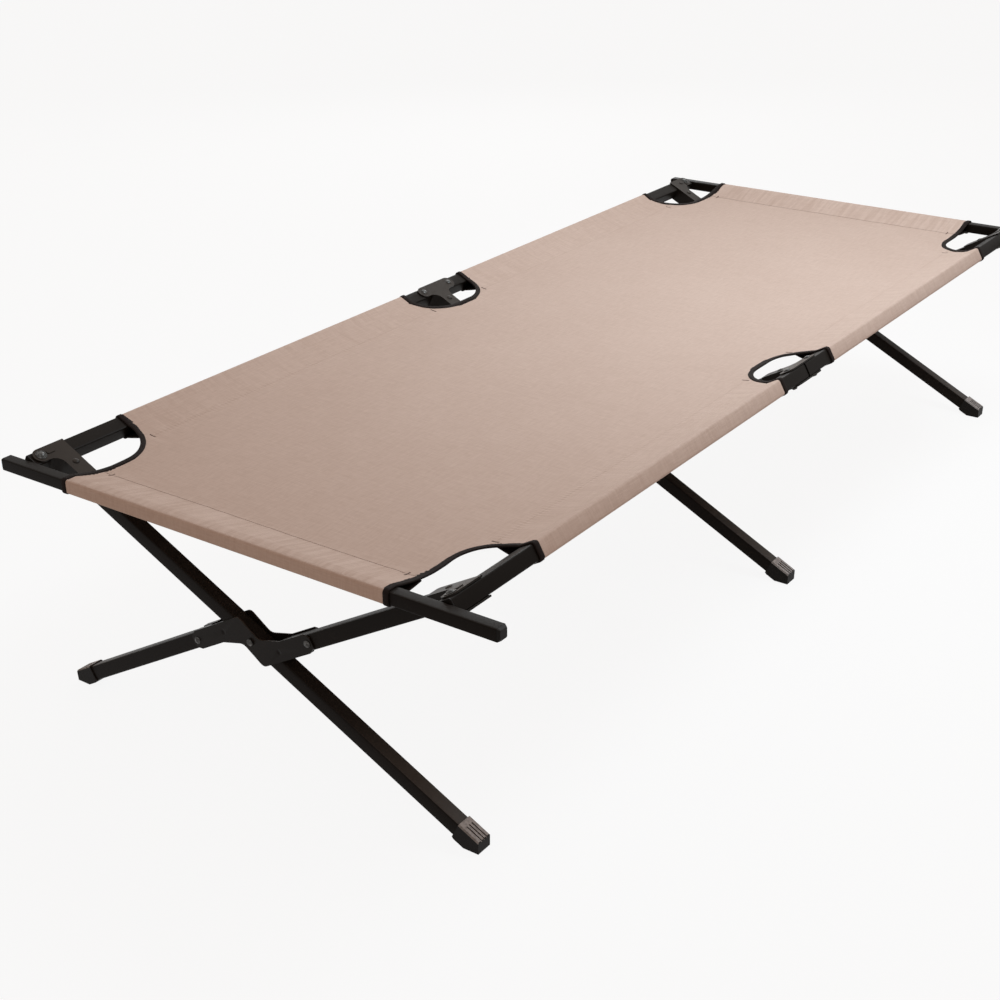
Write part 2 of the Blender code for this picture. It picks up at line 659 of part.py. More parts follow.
def follow(stations, length):
    # place and normal on the path at this length
    for (start, place0, normal0), (end, place1, normal1) in zip(stations, stations[1:]):
        if length <= end + 1e-7:
            share = (length - start) / (end - start)
            return place0.lerp(place1, share), normal0.lerp(normal1, share)
    return stations[-1][1], stations[-1][2]


def wrap_path(around, seam_out):
    # Section from a seam over a tube's top, round its outside and back under it to the seam.
    # The tube's corners come anticlockwise, from its outer top one.
    per_corner = CORNER_STEPS + 1
    outer_top, inner_top = around[:per_corner], around[per_corner:2 * per_corner]
    inner_low, outer_low = around[2 * per_corner:3 * per_corner], around[3 * per_corner:]
    seam = (seam_out, RAIL_HEIGHT - SLING_DROP)
    below = (seam_out + SEAM_TUCK, seam[1] - CLOTH - SEAT_GAP)
    tube = inner_top[:1] + outer_top[::-1] + outer_low[::-1] + inner_low[::-1][:2]
    return with_lengths([seam, *tube, below])


def make_sling(parent, material):
    side_seam = half_spacing - SLEEVE_SEAM
    end_seam = LENGTH / 2 - BAR_SIZE / 2 - HEM_SEAM
    paths = {}
    for sign, angle in ((1, angle_a), (-1, angle_b)):
        around = offset_outline(RAIL_WIDTH, RAIL_DEPTH, (half_spacing, RAIL_HEIGHT), angle)
        paths[sign] = wrap_path(around, side_seam)
    around = offset_outline(BAR_SIZE, BAR_SIZE, (LENGTH / 2 - BAR_SIZE / 2, RAIL_HEIGHT), 0)
    hem = wrap_path(around, end_seam)

    bed_a = [end_seam * (2 * step / BED_CELLS - 1) for step in range(BED_CELLS + 1)]
    bed_b = [side_seam * (2 * step / BED_CELLS - 1) for step in range(BED_CELLS + 1)]
    lines_a = [-run for run, _, _ in hem[:0:-1]] + bed_a + [run for run, _, _ in hem[1:]]
    lines_b = [-run for run, _, _ in paths[-1][:0:-1]] + bed_b + [run for run, _, _ in paths[1][1:]]

    mesh = bmesh.new()
    grid = [[mesh.verts.new((a, b, -CLOTH / 2)) for b in lines_b] for a in lines_a]
    for row, next_row in zip(grid, grid[1:]):
        for i in range(len(lines_b) - 1):
            mesh.faces.new((row[i], next_row[i], next_row[i + 1], row[i + 1]))
    grown = bmesh.ops.extrude_face_region(mesh, geom=mesh.faces[:])["geom"]
    moved = [item for item in grown if isinstance(item, bmesh.types.BMVert)]
    bmesh.ops.translate(mesh, verts=moved, vec=(0, 0, CLOTH))
    bmesh.ops.recalc_face_normals(mesh, faces=mesh.faces[:])
    sling = add_object("sling", mesh)

    far_a = lines_a[-1] + CLOTH
    far_b = max(lines_b[-1], -lines_b[0]) + CLOTH
    sleeve_end = LENGTH / 2 - SLEEVE_END
    hem_end = half_spacing - HEM_END
    corner_cut = rounded([(sleeve_end, far_b, 0), (sleeve_end, hem_end, CORNER_CUT_RADIUS),
                          (far_a, hem_end, 0), (far_a, far_b, 0)])
    mid_in = half_spacing - MID_CUT_DEPTH
    mid_cut = rounded([(-MID_CUT_HALF, far_b, 0), (-MID_CUT_HALF, mid_in, MID_CUT_RADIUS),
                       (MID_CUT_HALF, mid_in, MID_CUT_RADIUS), (MID_CUT_HALF, far_b, 0)])
    cutters = []
    for sign_b in (-1, 1):
        cuts = [[(a, sign_b * b) for a, b in mid_cut]]
        cuts += [[(sign_a * a, sign_b * b) for a, b in corner_cut] for sign_a in (-1, 1)]
        cutters += [prism("cutter", cut, -CLOTH, CLOTH, "n") for cut in cuts]
    combine(sling, cutters, "DIFFERENCE")

    mesh = bmesh.new()
    mesh.from_mesh(sling.data)
    bmesh.ops.triangulate(mesh, faces=mesh.faces[:])
    for vert in mesh.verts:
        a, b, lift = vert.co
        if abs(b) > side_seam:
            sign = math.copysign(1, b)
            place, normal = follow(paths[sign], abs(b))
            place = place + normal * lift
            vert.co = (a, BAR_SHIFT + sign * place.x, place.y)
        elif abs(a) > end_seam:
            sign = math.copysign(1, a)
            place, normal = follow(hem, abs(a))
            place = place + normal * lift
            vert.co = (sign * place.x, BAR_SHIFT + b, place.y)
        else:
            dip = SLING_DIP * (1 - (a / end_seam) ** 2) * (1 - (b / side_seam) ** 2)
            vert.co = (a, BAR_SHIFT + b, RAIL_HEIGHT - SLING_DROP + lift - dip)
    bmesh.ops.recalc_face_normals(mesh, faces=mesh.faces[:])
    mesh.to_mesh(sling.data)
    mesh.free()
    sling.data.shade_smooth()
    sling.data.set_sharp_from_angle(angle=math.radians(40))
    bpy.context.view_layer.update()
    sling.parent = parent
    sling.matrix_parent_inverse = parent.matrix_world.inverted()
    return finish(sling, material)


def build():
    for obj in list(bpy.data.objects):
        bpy.data.objects.remove(obj)

    steel = make_material("black powder coat", (0.022, 0.021, 0.020), 0.38, 0.0)
    bracket_steel = make_material("black bracket coat", (0.030, 0.029, 0.028), 0.42, 0.0)
    rivet_steel = make_material("rivet steel", (0.20, 0.20, 0.20), 0.35, 1.0)
    plastic = make_material("black plastic", (0.030, 0.029, 0.028), 0.55, 0.0)
    cloth = make_material("tan cloth", (0.50, 0.40, 0.33), 0.9, 0.0)

    frame_a = Frame("frame_a", angle_a, False, 0, 0)
    frame_b = Frame("frame_b", angle_b, True, -HALF_LEG_OFFSET, HALF_LEG_OFFSET)
    sides = ((-1, "left"), (0, "mid"), (1, "right"))
    leg_rivet = rail_reach - LEG_RIVET_DROP
    seat = RIVET_RADIUS + SEAT_GAP

    for frame, letter in ((frame_a, "a"), (frame_b, "b")):
        for side, name in sides:
            label = f"{letter}_{name}"
            make_bracket(frame, side, label, bracket_steel)
            make_rail_rivets(frame, side, label, rivet_steel)
            make_cap(frame, side, f"foot_{label}", plastic)
            if side:
                make_rail(frame, side, label, steel)
                make_rail_plug(frame, side, label, plastic)

    for side, name in sides:
        pivot = (0, PIVOT_RADIUS + SEAT_GAP, "x", PIN_SIDES)
        make_leg(frame_a, side, f"leg_a_{name}", frame_a.leg_foot(), leg_top, 0,
                 [pivot, (leg_rivet, seat, "n", RIVET_SIDES)], steel)
        make_leg(frame_b, side, f"leg_b_upper_{name}", HALF_LEG_START, leg_top, -HALF_LEG_OFFSET,
                 [(LINK_RIVET_REACH, seat, "x", RIVET_SIDES), (leg_rivet, seat, "n", RIVET_SIDES)],
                 steel)
        make_leg(frame_b, side, f"leg_b_lower_{name}", frame_b.leg_foot(), -HALF_LEG_START,
                 HALF_LEG_OFFSET, [(-LINK_RIVET_REACH, seat, "x", RIVET_SIDES)], steel)
        for face, end in ((-1, 1), (1, 2)):
            make_link(frame_b, side, face, f"pivot_plate_{name}_{end}", bracket_steel)
        make_link_rivets(frame_b, side, f"pivot_plate_rivet_{name}", rivet_steel)
        make_pivot(frame_a, side, f"pivot_rivet_{name}", rivet_steel)

    make_bar(-1, "left", steel, plastic)
    make_bar(1, "right", steel, plastic)
    make_sling(frame_a.empty, cloth)


build()
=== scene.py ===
import json
import math
from mathutils import Matrix, Vector, noise

import bpy
import numpy as np


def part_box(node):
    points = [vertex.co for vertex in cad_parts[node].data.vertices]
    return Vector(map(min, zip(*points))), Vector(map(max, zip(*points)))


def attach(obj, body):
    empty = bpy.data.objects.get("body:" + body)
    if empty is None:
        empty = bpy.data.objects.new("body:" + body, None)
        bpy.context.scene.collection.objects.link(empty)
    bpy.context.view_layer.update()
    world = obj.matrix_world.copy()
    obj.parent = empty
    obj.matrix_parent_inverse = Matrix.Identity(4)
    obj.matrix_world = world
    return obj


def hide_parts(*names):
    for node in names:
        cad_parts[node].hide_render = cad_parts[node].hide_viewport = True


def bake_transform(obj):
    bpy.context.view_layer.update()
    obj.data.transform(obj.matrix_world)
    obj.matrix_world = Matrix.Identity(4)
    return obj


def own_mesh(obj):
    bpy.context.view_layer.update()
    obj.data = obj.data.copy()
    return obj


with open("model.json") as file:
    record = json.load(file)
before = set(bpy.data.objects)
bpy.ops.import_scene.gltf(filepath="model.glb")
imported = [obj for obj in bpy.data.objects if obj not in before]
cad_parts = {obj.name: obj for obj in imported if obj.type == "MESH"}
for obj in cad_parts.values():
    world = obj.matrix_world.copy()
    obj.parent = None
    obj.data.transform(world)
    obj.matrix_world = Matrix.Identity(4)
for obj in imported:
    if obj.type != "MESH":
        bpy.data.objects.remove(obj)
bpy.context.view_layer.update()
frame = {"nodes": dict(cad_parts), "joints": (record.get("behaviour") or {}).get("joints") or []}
nodes = frame["nodes"]
print("frame loaded:", len(nodes), "nodes")


# Shader maths

class Wire:
    # one output socket, so that shader maths reads as plain expressions
    def __init__(self, graph, socket):
        self.graph = graph
        self.socket = socket

    def maths(self, operation, first, second=0.0):
        return self.graph.add("ShaderNodeMath", {"operation": operation}, {0: first, 1: second})

    def __add__(self, other):
        return self.maths("ADD", self, other)

    def __radd__(self, other):
        return self.maths("ADD", other, self)

    def __sub__(self, other):
        return self.maths("SUBTRACT", self, other)

    def __rsub__(self, other):
        return self.maths("SUBTRACT", other, self)

    def __mul__(self, other):
        return self.maths("MULTIPLY", self, other)

    def __rmul__(self, other):
        return self.maths("MULTIPLY", other, self)

    def sine(self):
        return self.maths("SINE", self)

    def size(self):
        return self.maths("ABSOLUTE", self)

    def atLeast(self, other):
        return self.maths("MAXIMUM", self, other)


class Graph:
    # a tree of shader nodes
    def __init__(self, tree):
        self.tree = tree

    def fill(self, node, values):
        # gives a node's sockets their values, or links them to wires
        for key, value in values.items():
            if isinstance(value, Wire):
                self.tree.links.new(value.socket, node.inputs[key])
            else:
                node.inputs[key].default_value = value

    def add(self, kind, settings, values, output=0):
        made = self.tree.nodes.new(kind)
        for key, value in settings.items():
            setattr(made, key, value)
        self.fill(made, values)
        return Wire(self, made.outputs[output])

    def outputsOf(self, wire, *names):
        # outputs of the node that a wire leaves
        return [Wire(self, wire.socket.node.outputs[name]) for name in names]

    def split(self, vector):
        parts = self.add("ShaderNodeSeparateXYZ", {}, {"Vector": vector})
        return self.outputsOf(parts, "X", "Y", "Z")

    def seen(self):
        # 1 for rays from the camera: straight, mirrored or let through
        straight, mirrored, through = self.outputsOf(
            self.add("ShaderNodeLightPath", {}, {}),
            "Is Camera Ray", "Is Glossy Ray", "Is Transmission Ray")
        return straight.atLeast(mirrored).atLeast(through)

    def mixShaders(self, share, first, second):
        return self.add("ShaderNodeMixShader", {}, {0: share, 1: first, 2: second})


class Finish(Graph):
    # a material whose nodes end in its Principled shader
    def __init__(self, name, **sockets):
        self.material = bpy.data.materials.new(name)
        self.material.use_nodes = True
        super().__init__(self.material.node_tree)
        self.shader = self.tree.nodes["Principled BSDF"]
        for socket, value in sockets.items():
            self.shader.inputs[socket.replace("_", " ")].default_value = value

    def place(self, turn=(0, 0, 0)):
        # position on the object, in metres
        spot = self.add("ShaderNodeTexCoord", {}, {}, "Object")
        return self.add("ShaderNodeMapping", {}, {"Vector": spot, "Rotation": turn})

    def onCloth(self, scale=(1, 1, 1), turn=(0, 0, 0)):
        # position on the flat cut of the cloth, in metres times scale
        spot = self.add("ShaderNodeUVMap", {"uv_map": "flatCut"}, {})
        return self.add("ShaderNodeMapping", {}, {
            "Vector": spot, "Scale": scale, "Rotation": turn})

    def upward(self, low, high):
        # 1 on faces that look up; the finishes use it to paint light on top faces
        normal = self.add("ShaderNodeTexCoord", {}, {}, "Normal")
        return self.fade(self.split(normal)[2], low, high)

    def grain(self, spot, scale, detail=2.0, roughness=0.5):
        return self.add("ShaderNodeTexNoise", {}, {
            "Vector": spot, "Scale": scale, "Detail": detail, "Roughness": roughness}, "Fac")

    def blend(self, share, first, second):
        return self.add("ShaderNodeMix", {"data_type": "RGBA"}, {
            0: share, 6: first, 7: second}, 2)

    def fade(self, value, low, high):
        return self.add("ShaderNodeMapRange", {"interpolation_type": "SMOOTHSTEP"}, {
            "Value": value, "From Min": low, "From Max": high})

    def bump(self, height, distance, strength):
        self.connect("Normal", self.add("ShaderNodeBump", {}, {
            "Height": height, "Distance": distance, "Strength": strength}, "Normal"))

    def connect(self, socket, wire):
        self.fill(self.shader, {socket: wire})


# Finishes. Each noise is given by its scale, detail and roughness.

def tone(red, green, blue):
    # colour as a screen shows it, 0 to 255, made linear
    return tuple((c / 255 / 12.92 if c < 10.3 else ((c / 255 + 0.055) / 1.055) ** 2.4)
                 for c in (red, green, blue)) + (1.0,)


coatLook = {
    "colour": tone(22, 17, 13),
    # pale colour of random dust, and of the painted light on top faces
    "dustAndTopLight": tone(87, 83, 80),
    "topLightShare": 0.12,          # share of painted light on faces that look up
    "nearFloor": 0.8,         # the same at the legs' feet
    "roughness": 0.42,
    "gloss": 0.05,            # specular level
}

bracketLook = {
    "colour": tone(25, 20, 16),
    # pale colour and shares of the painted light on top faces, as for the tubes
    "dustAndTopLight": tone(88, 82, 77),
    "topLightShare": 0.46,
    "nearFloor": 0.46,
    "roughness": 0.34,
    "gloss": 0.08,
}

powderLook = {
    "peel": (1 / 0.0022, 3.0, 0.55),   # orange peel
    "peelHeight": 0.00006,
    "patch": (9.0, 4.0, 0.6),
    "fine": (140.0, 2.0, 0.5),
    "dusty": (0.5, 0.78),     # noise at which dust begins and is full
    "feet": (0.02, 0.15),     # heights at which the painted light near the floor begins to fade and ends
    "upward": (0.4, 0.9),     # how far a face must look up to be painted paler
}


def blackPowderCoat(name, look):
    roughness = look["roughness"]
    coat = Finish(name, Roughness=roughness, Specular_IOR_Level=look["gloss"])
    spot = coat.place()
    peel, patch, fine = (coat.grain(spot, *powderLook[key]) for key in ("peel", "patch", "fine"))
    dusty = coat.fade(patch * 0.8 + fine * 0.2, *powderLook["dusty"])
    # painted light: faces that look up are made paler, more so near the floor; random patches add
    # a little real dust
    low = 1.0 - coat.fade(coat.split(spot)[2], *powderLook["feet"])
    topLightShare = low * (look["nearFloor"] - look["topLightShare"]) + look["topLightShare"]
    topLightShare = coat.upward(*powderLook["upward"]) * (patch * 0.6 + 0.7) * topLightShare
    coat.connect("Base Color", coat.blend(dusty * 0.1 + topLightShare, look["colour"], look["dustAndTopLight"]))
    coat.connect("Roughness", roughness + (patch - 0.5) * 0.16 + dusty * 0.08)
    coat.bump(peel, powderLook["peelHeight"], 0.5)
    return coat.material


rivetLook = {
    "dark": tone(54, 52, 50),
    "bright": tone(98, 95, 92),
    "wear": (260.0, 4.0, 0.6),
    "worn": (0.46, 0.7),      # noise at which wear begins and is full
    "roughness": 0.36,
    "dents": 700.0,
    "dentHeight": 0.00008,
}


def rivetMetal():
    # black zinc, rubbed bright on its high spots
    look = rivetLook
    steel = Finish("rivetMetal", Metallic=0.75)
    spot = steel.place()
    wear = steel.fade(steel.grain(spot, *look["wear"]), *look["worn"])
    steel.connect("Base Color", steel.blend(wear, look["dark"], look["bright"]))
    steel.connect("Roughness", look["roughness"] - wear * 0.08)
    steel.bump(steel.grain(spot, look["dents"]), look["dentHeight"], 0.5)
    return steel.material


plasticLook = {
    "colour": tone(24, 21, 19),
    "scuffed": tone(52, 47, 44),
    # pale colour of the painted light on faces that look up, speckled like dust
    "dustAndTopLight": tone(174, 169, 167),
    "texture": (900.0, 2.0, 0.6),
    "textureHeight": 0.0001,
    "scuff": (60.0, 5.0, 0.65),
    "grit": (260.0, 3.0, 0.6),
    "upward": (0.45, 0.75),
    "roughness": 0.5,
}


def mouldedPlastic(name, gloss, topLightShare):
    # the last argument: how much painted light, a paler colour, the faces that look up carry
    look = plasticLook
    plastic = Finish(name, Specular_IOR_Level=gloss)
    spot = plastic.place()
    texture, scuff, grit = (plastic.grain(spot, *look[key])
                            for key in ("texture", "scuff", "grit"))
    scuff = plastic.fade(scuff, 0.55, 0.8)
    plain = plastic.blend(scuff * 0.5, look["colour"], look["scuffed"])
    # painted light: faces that look up are made paler, speckled by the grit
    dustAndTopLight = plastic.upward(*look["upward"]) * (grit * 1.2 + 0.3) * topLightShare
    plastic.connect("Base Color", plastic.blend(dustAndTopLight, plain, look["dustAndTopLight"]))
    plastic.connect("Roughness", look["roughness"] + scuff * 0.15)
    plastic.bump(texture, look["textureHeight"], 0.4)
    return plastic.material


clothLook = {
    "shade": tone(190, 166, 152),
    "light": tone(205, 183, 170),
    "yarn": 0.0011,           # pitch of the weave
    "yarnHeight": 0.00011,
    "slubs": (26, 420, 1),    # noise scales along the cot and across it
    "crossSlubs": (420, 22, 1),
    "slubNoise": (1.0, 2.0, 0.6),
    "cloud": (5.0, 3.0, 0.5),
    "mottle": (120.0, 3.0, 0.6),
    "hemStreaks": (9, 120, 1),
    "sleeveStreaks": (75, 8, 1),
    "streakNoise": (1.0, 3.0, 0.55),
    "streakEdge": 0.006,      # half the width over which they begin at a seam
    "sleeveShare": 0.35,      # the sleeves' streaks against the hems'
    "streakHeight": 0.0011,
    # colour of the seams' dark line: painted shade in their grooves
    "seam": tone(118, 92, 79),
    "seamLine": (0.0003, 0.0014),   # from the seam: where its painted dark line is full and ends
    "lineShare": {"sleeve": 0.08, "hem": 1.0},
    "lineDepth": 0.0005,
    "pucker": 0.0074,         # pitch of the gathers beside a seam
    "puckerHeight": 0.00021,
    "puckerReach": 0.012,
    "puckerSwing": (30.0, 1.0, 0.5),
}


def tanCloth(sleeveSeam, hemSeam):
    # the seams' distances from the middle: across the cot and along it
    look = clothLook
    cloth = Finish("tanCloth", Roughness=0.82, Specular_IOR_Level=0.2, Sheen_Weight=0.1,
                   Sheen_Roughness=0.45)
    flat = cloth.onCloth()
    u, v, _ = cloth.split(flat)
    turns = 2 * math.pi / look["yarn"]
    weave = (u * turns).sine() * (v * turns).sine() * 0.5 + 0.5
    slubs, crossSlubs = (cloth.grain(cloth.onCloth(look[key]), *look["slubNoise"])
                         for key in ("slubs", "crossSlubs"))
    cloud, mottle = (cloth.grain(flat, *look[key]) for key in ("cloud", "mottle"))
    hemStreaks, sleeveStreaks = (
        cloth.grain(cloth.onCloth(look[key]), *look["streakNoise"]) - 0.5
        for key in ("hemStreaks", "sleeveStreaks"))
    inHem, inSleeve = (cloth.fade(place.size() - seam, -look["streakEdge"], look["streakEdge"])
                       for place, seam in ((u, hemSeam), (v, sleeveSeam)))
    streaks = hemStreaks * inHem + sleeveStreaks * inSleeve * look["sleeveShare"]
    share = cloud * 0.12 + slubs * 0.3 + crossSlubs * 0.3 + mottle * 0.2 + weave * 0.08
    # painted light and shade: the ripples in the hems and sleeves also go into the colour as light
    # and dark streaks
    share += streaks * 0.7
    plain = cloth.blend(cloth.fade(share, 0.32, 0.68), look["shade"], look["light"])
    line, gathers = 0.0, 0.0
    swing = cloth.grain(flat, *look["puckerSwing"]) * 5.0
    for kind, across, along, place in (("sleeve", v, u, sleeveSeam), ("hem", u, v, hemSeam)):
        away = (across.size() - place).size()
        mark = (1.0 - cloth.fade(away, *look["seamLine"])) * look["lineShare"][kind]
        line = mark.atLeast(line)
        near = 1.0 - cloth.fade(away, 0.0, look["puckerReach"])
        gathers += (along * (2 * math.pi / look["pucker"]) + swing).sine() * near
    # the seams' dark line is painted shade in their grooves; the groove is also in the bump
    cloth.connect("Base Color", cloth.blend(line * 0.55, plain, look["seam"]))
    cloth.connect("Roughness", 0.78 + weave * 0.08)
    height = (weave + slubs * 0.6 + crossSlubs * 0.6) * look["yarnHeight"]
    height += gathers * look["puckerHeight"] - line * look["lineDepth"]
    height += streaks * look["streakHeight"]
    cloth.bump(height, 1.0, 0.8)
    return cloth.material


twillLook = {
    "dark": tone(20, 16, 14),
    "pale": tone(40, 31, 28),
    "pitch": 0.0013,
    "height": 0.00012,
    "mottle": (160.0, 3.0, 0.6),
}


def edgeTape():
    # bias-cut binding: a twill that runs slantwise along the tape
    look = twillLook
    tape = Finish("edgeTape", Roughness=0.75, Specular_IOR_Level=0.08)
    slanted = tape.split(tape.onCloth(turn=(0, 0, math.radians(45))))[0]
    twill = (slanted * (2 * math.pi / look["pitch"])).sine() * 0.5 + 0.5
    mottle = tape.grain(tape.onCloth(), *look["mottle"])
    share = twill * 0.5 + mottle * 0.5
    tape.connect("Base Color", tape.blend(share, look["dark"], look["pale"]))
    tape.bump(twill, look["height"], 0.5)
    return tape.material


threadLook = {
    "turn": (0.4, 0.3, 0.5),
    "twist": (1400.0, 2.0, 0.5),
    "height": 0.0001,
}


def threadFinish(name, dark, pale):
    thread = Finish(name, Roughness=0.7, Specular_IOR_Level=0.2)
    twist = thread.grain(thread.place(threadLook["turn"]), *threadLook["twist"])
    thread.connect("Base Color", thread.blend(twist, dark, pale))
    thread.bump(twist, threadLook["height"], 0.5)
    return thread.material


finishes = {
    "tube": blackPowderCoat("tubeCoat", coatLook),
    "bracket": blackPowderCoat("bracketCoat", bracketLook),
    "rivet": rivetMetal(),
    # the last number is the share of painted light on top faces; the feet get most
    "plastic": mouldedPlastic("mouldedPlastic", 0.1, 0.06),
    "footPlastic": mouldedPlastic("footPlastic", 0.08, 0.95),
    "tape": edgeTape(),
    "hemThread": threadFinish("hemThread", tone(112, 88, 76), tone(150, 124, 110)),
    "sleeveThread": threadFinish("sleeveThread", tone(176, 151, 137), tone(196, 172, 158)),
    "tackThread": threadFinish("tackThread", tone(70, 52, 44), tone(104, 82, 72)),
    "tapeThread": threadFinish("tapeThread", tone(24, 20, 19), tone(46, 38, 35)),
}
print("finishes made")


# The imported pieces: soft edges and their finishes

cadFinish = {
    "rail_plug": "plastic", "end_bar_plug": "plastic", "foot": "footPlastic",
    "rail_rivet": "rivet", "pivot_rivet": "rivet", "pivot_plate_rivet": "rivet",
    "bracket": "bracket", "pivot_plate": "bracket",
    "rail": "tube", "leg": "tube", "end_bar": "tube",
}

edgeRounding = {"tube": 0.0003, "bracket": 0.0005, "rivet": 0.0003, "plastic": 0.0006,
                "footPlastic": 0.0006}


def dressNode(name, obj):
    # the finish goes by the longest start that fits; the sling has none
    fits = [start for start in cadFinish if name.startswith(start)]
    if not fits:
        return
    finish = cadFinish[max(fits, key=len)]
    obj.data.materials.clear()
    obj.data.materials.append(finishes[finish])
    obj.data.shade_smooth()
    weld = obj.modifiers.new("weld", "WELD")
    weld.merge_threshold = 0.00001
    soft = obj.modifiers.new("edges", "BEVEL")
    soft.width = edgeRounding[finish]
    soft.segments = 2
    soft.limit_method = "ANGLE"
    soft.angle_limit = math.radians(38)
    soft.use_clamp_overlap = True
    even = obj.modifiers.new("normals", "WEIGHTED_NORMAL")
    even.keep_sharp = False


for nodeName, nodeObject in nodes.items():
    dressNode(nodeName, nodeObject)
print("packed pieces dressed")


# Measures of the frame

def middleOf(name):
    low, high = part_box(name)
    return (low + high) / 2


frameSizes = {
    "railWidth": 0.0255,
    "railDepth": 0.024,
    "tubeCorner": 0.003,
    "barSize": 0.019,
    "halfLegOffset": 0.0255,  # half legs' line from the pivot
}

railA = middleOf("rail_a_left")
railB = middleOf("rail_b_left")
midY = (railA.y + railB.y) / 2
halfSpacing = (railA.y - railB.y) / 2
railHeight = railA.z
pivot = Vector(next(j for j in frame["joints"] if j["name"] == "scissor_fold")["pos_m"])
slopeA = math.atan2(railA.z - pivot.z, railA.y - pivot.y)
reachB = math.hypot(pivot.y - railB.y, railB.z - pivot.z)
slopeB = math.atan2(railB.z - pivot.z, pivot.y - railB.y) + math.asin(
    frameSizes["halfLegOffset"] / reachB)
barX = middleOf("end_bar_right").x
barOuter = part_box("end_bar_right")[1].x


# Sling. It is cut flat, with u along the cot and v across it, both from the cot's middle,
# and then folded round the rails and over the bars. A run is a distance on the flat cut.

slingLook = {
    "thickness": 0.0008,
    "tubeGap": 0.0011,        # from a tube to the cloth's middle
    "sleeveSeam": 0.0595,     # from the rail's centre line
    "hemSeam": 0.0585,        # from the bar's centre line
    "seamDrop": 0.004,        # seams below the tubes' centre lines
    "dip": 0.005,             # the bed's middle below its seams
    "seamSoftness": 0.009,
    "edgeSoftness": 0.030,    # added where a seam runs out at a cut edge
    "sleeveEnd": 0.195,       # from the bar's outer face
    "hemEnd": 0.084,          # from the rail's centre line
    "cornerRadius": 0.070,
    "midHalf": 0.083,         # half the middle cut-out's width
    "midDepth": 0.069,
    "midRadius": 0.062,
    "cutSegments": 28,
    "cell": 0.0085,
    "seamLines": (0.0015, 0.004, 0.008),   # finer lines, from the seam
    "cornerSteps": 4,
    "flapTuck": 0.004,        # the margin's edge, out from the seam above it
    "flapDrop": 0.0013,       # and down from it
    "hemSlide": 0.009,        # left hem to the near side
    "slideReach": 0.09,
    "blendHalf": 0.35,        # half the width of a bend in the cloth, to each side of the fold
}


def runsAlong(points, start=0.0):
    # each point's distance along their line
    runs = [start]
    for before, after in zip(points, points[1:]):
        runs.append(runs[-1] + (Vector(after) - Vector(before)).length)
    return runs


class FoldPath:
    # section of a margin: seam, over the tube, round its outside and back under to the seam
    def __init__(self, centreOut, width, depth, turn, seamOut):
        per = slingLook["cornerSteps"] + 1
        around = self.tubeOutline(centreOut, width, depth, turn)
        outerTop, innerTop = around[:per], around[per:2 * per]
        innerLow, outerLow = around[2 * per:3 * per], around[3 * per:]
        seam = Vector((seamOut, railHeight - slingLook["seamDrop"]))
        below = Vector((seamOut + slingLook["flapTuck"], seam.y - slingLook["flapDrop"]))
        self.points = [seam, innerTop[0], *outerTop[::-1], *outerLow[::-1], *innerLow[::-1], below]
        self.runs = runsAlong(self.points, seamOut)
        self.topEnd = self.runs[2]              # where the outer top corner begins to turn
        self.lowStart = self.runs[1 + 2 * per]  # where the underside begins
        self.end = self.runs[-1]
        self.normals = []
        for i in range(len(self.points)):
            before = (self.points[i] - self.points[i - 1]) if i else Vector((1, 0))
            after = (self.points[i + 1] - self.points[i]) if i + 1 < len(self.points) else before
            before, after = before.normalized(), after.normalized()
            normal = Vector((-before.y - after.y, before.x + after.x)).normalized()
            self.normals.append(normal / max(0.5, normal.dot(Vector((-before.y, before.x)))))

    def tubeOutline(self, centreOut, width, depth, turn):
        # the tube's rounded outline grown by the cloth's gap, anticlockwise from its outer top
        grow, steps = slingLook["tubeGap"], slingLook["cornerSteps"]
        radius = frameSizes["tubeCorner"] + grow
        points = []
        for quarter, (signA, signB) in enumerate(((1, 1), (-1, 1), (-1, -1), (1, -1))):
            for step in range(steps + 1):
                t = (quarter + step / steps) * math.pi / 2
                a = signA * (width / 2 + grow - radius) + radius * math.cos(t)
                b = signB * (depth / 2 + grow - radius) + radius * math.sin(t)
                points.append(Vector((centreOut + a * math.cos(turn) - b * math.sin(turn),
                                      railHeight + a * math.sin(turn) + b * math.cos(turn))))
        return points

    def at(self, run):
        # place and upward normal, out from the cot's middle and up
        run = min(max(run, self.runs[0]), self.end)
        i = min(np.searchsorted(self.runs, run, side="right") - 1, len(self.runs) - 2)
        share = (run - self.runs[i]) / (self.runs[i + 1] - self.runs[i])
        return (self.points[i].lerp(self.points[i + 1], share),
                self.normals[i].lerp(self.normals[i + 1], share))


sideSeam = halfSpacing - slingLook["sleeveSeam"]
endSeam = barX - slingLook["hemSeam"]
paths = {side: FoldPath(halfSpacing, frameSizes["railWidth"], frameSizes["railDepth"], turn,
                        sideSeam) for side, turn in ((1, slopeA), (-1, slopeB))}
hemPath = FoldPath(barX, frameSizes["barSize"], frameSizes["barSize"], 0, endSeam)
sleeveEnd = barOuter - slingLook["sleeveEnd"]
hemEnd = halfSpacing - slingLook["hemEnd"]
midInner = halfSpacing - slingLook["midDepth"]
finishes["cloth"] = tanCloth(sideSeam, endSeam)

tapeLook = {
    "width": 0.0075,
    "over": 0.0014,           # beyond the cut edge
    "top": 0.0016,            # above the cloth's middle
    "under": 0.00098,         # below it
    "paintedShadeWidth": 0.026,          # width of the black tape's under side inside the sleeves' and hems' ends: painted shade
    "arcSteps": 22,
    "cell": 0.007,
    "waver": 0.00035,
}

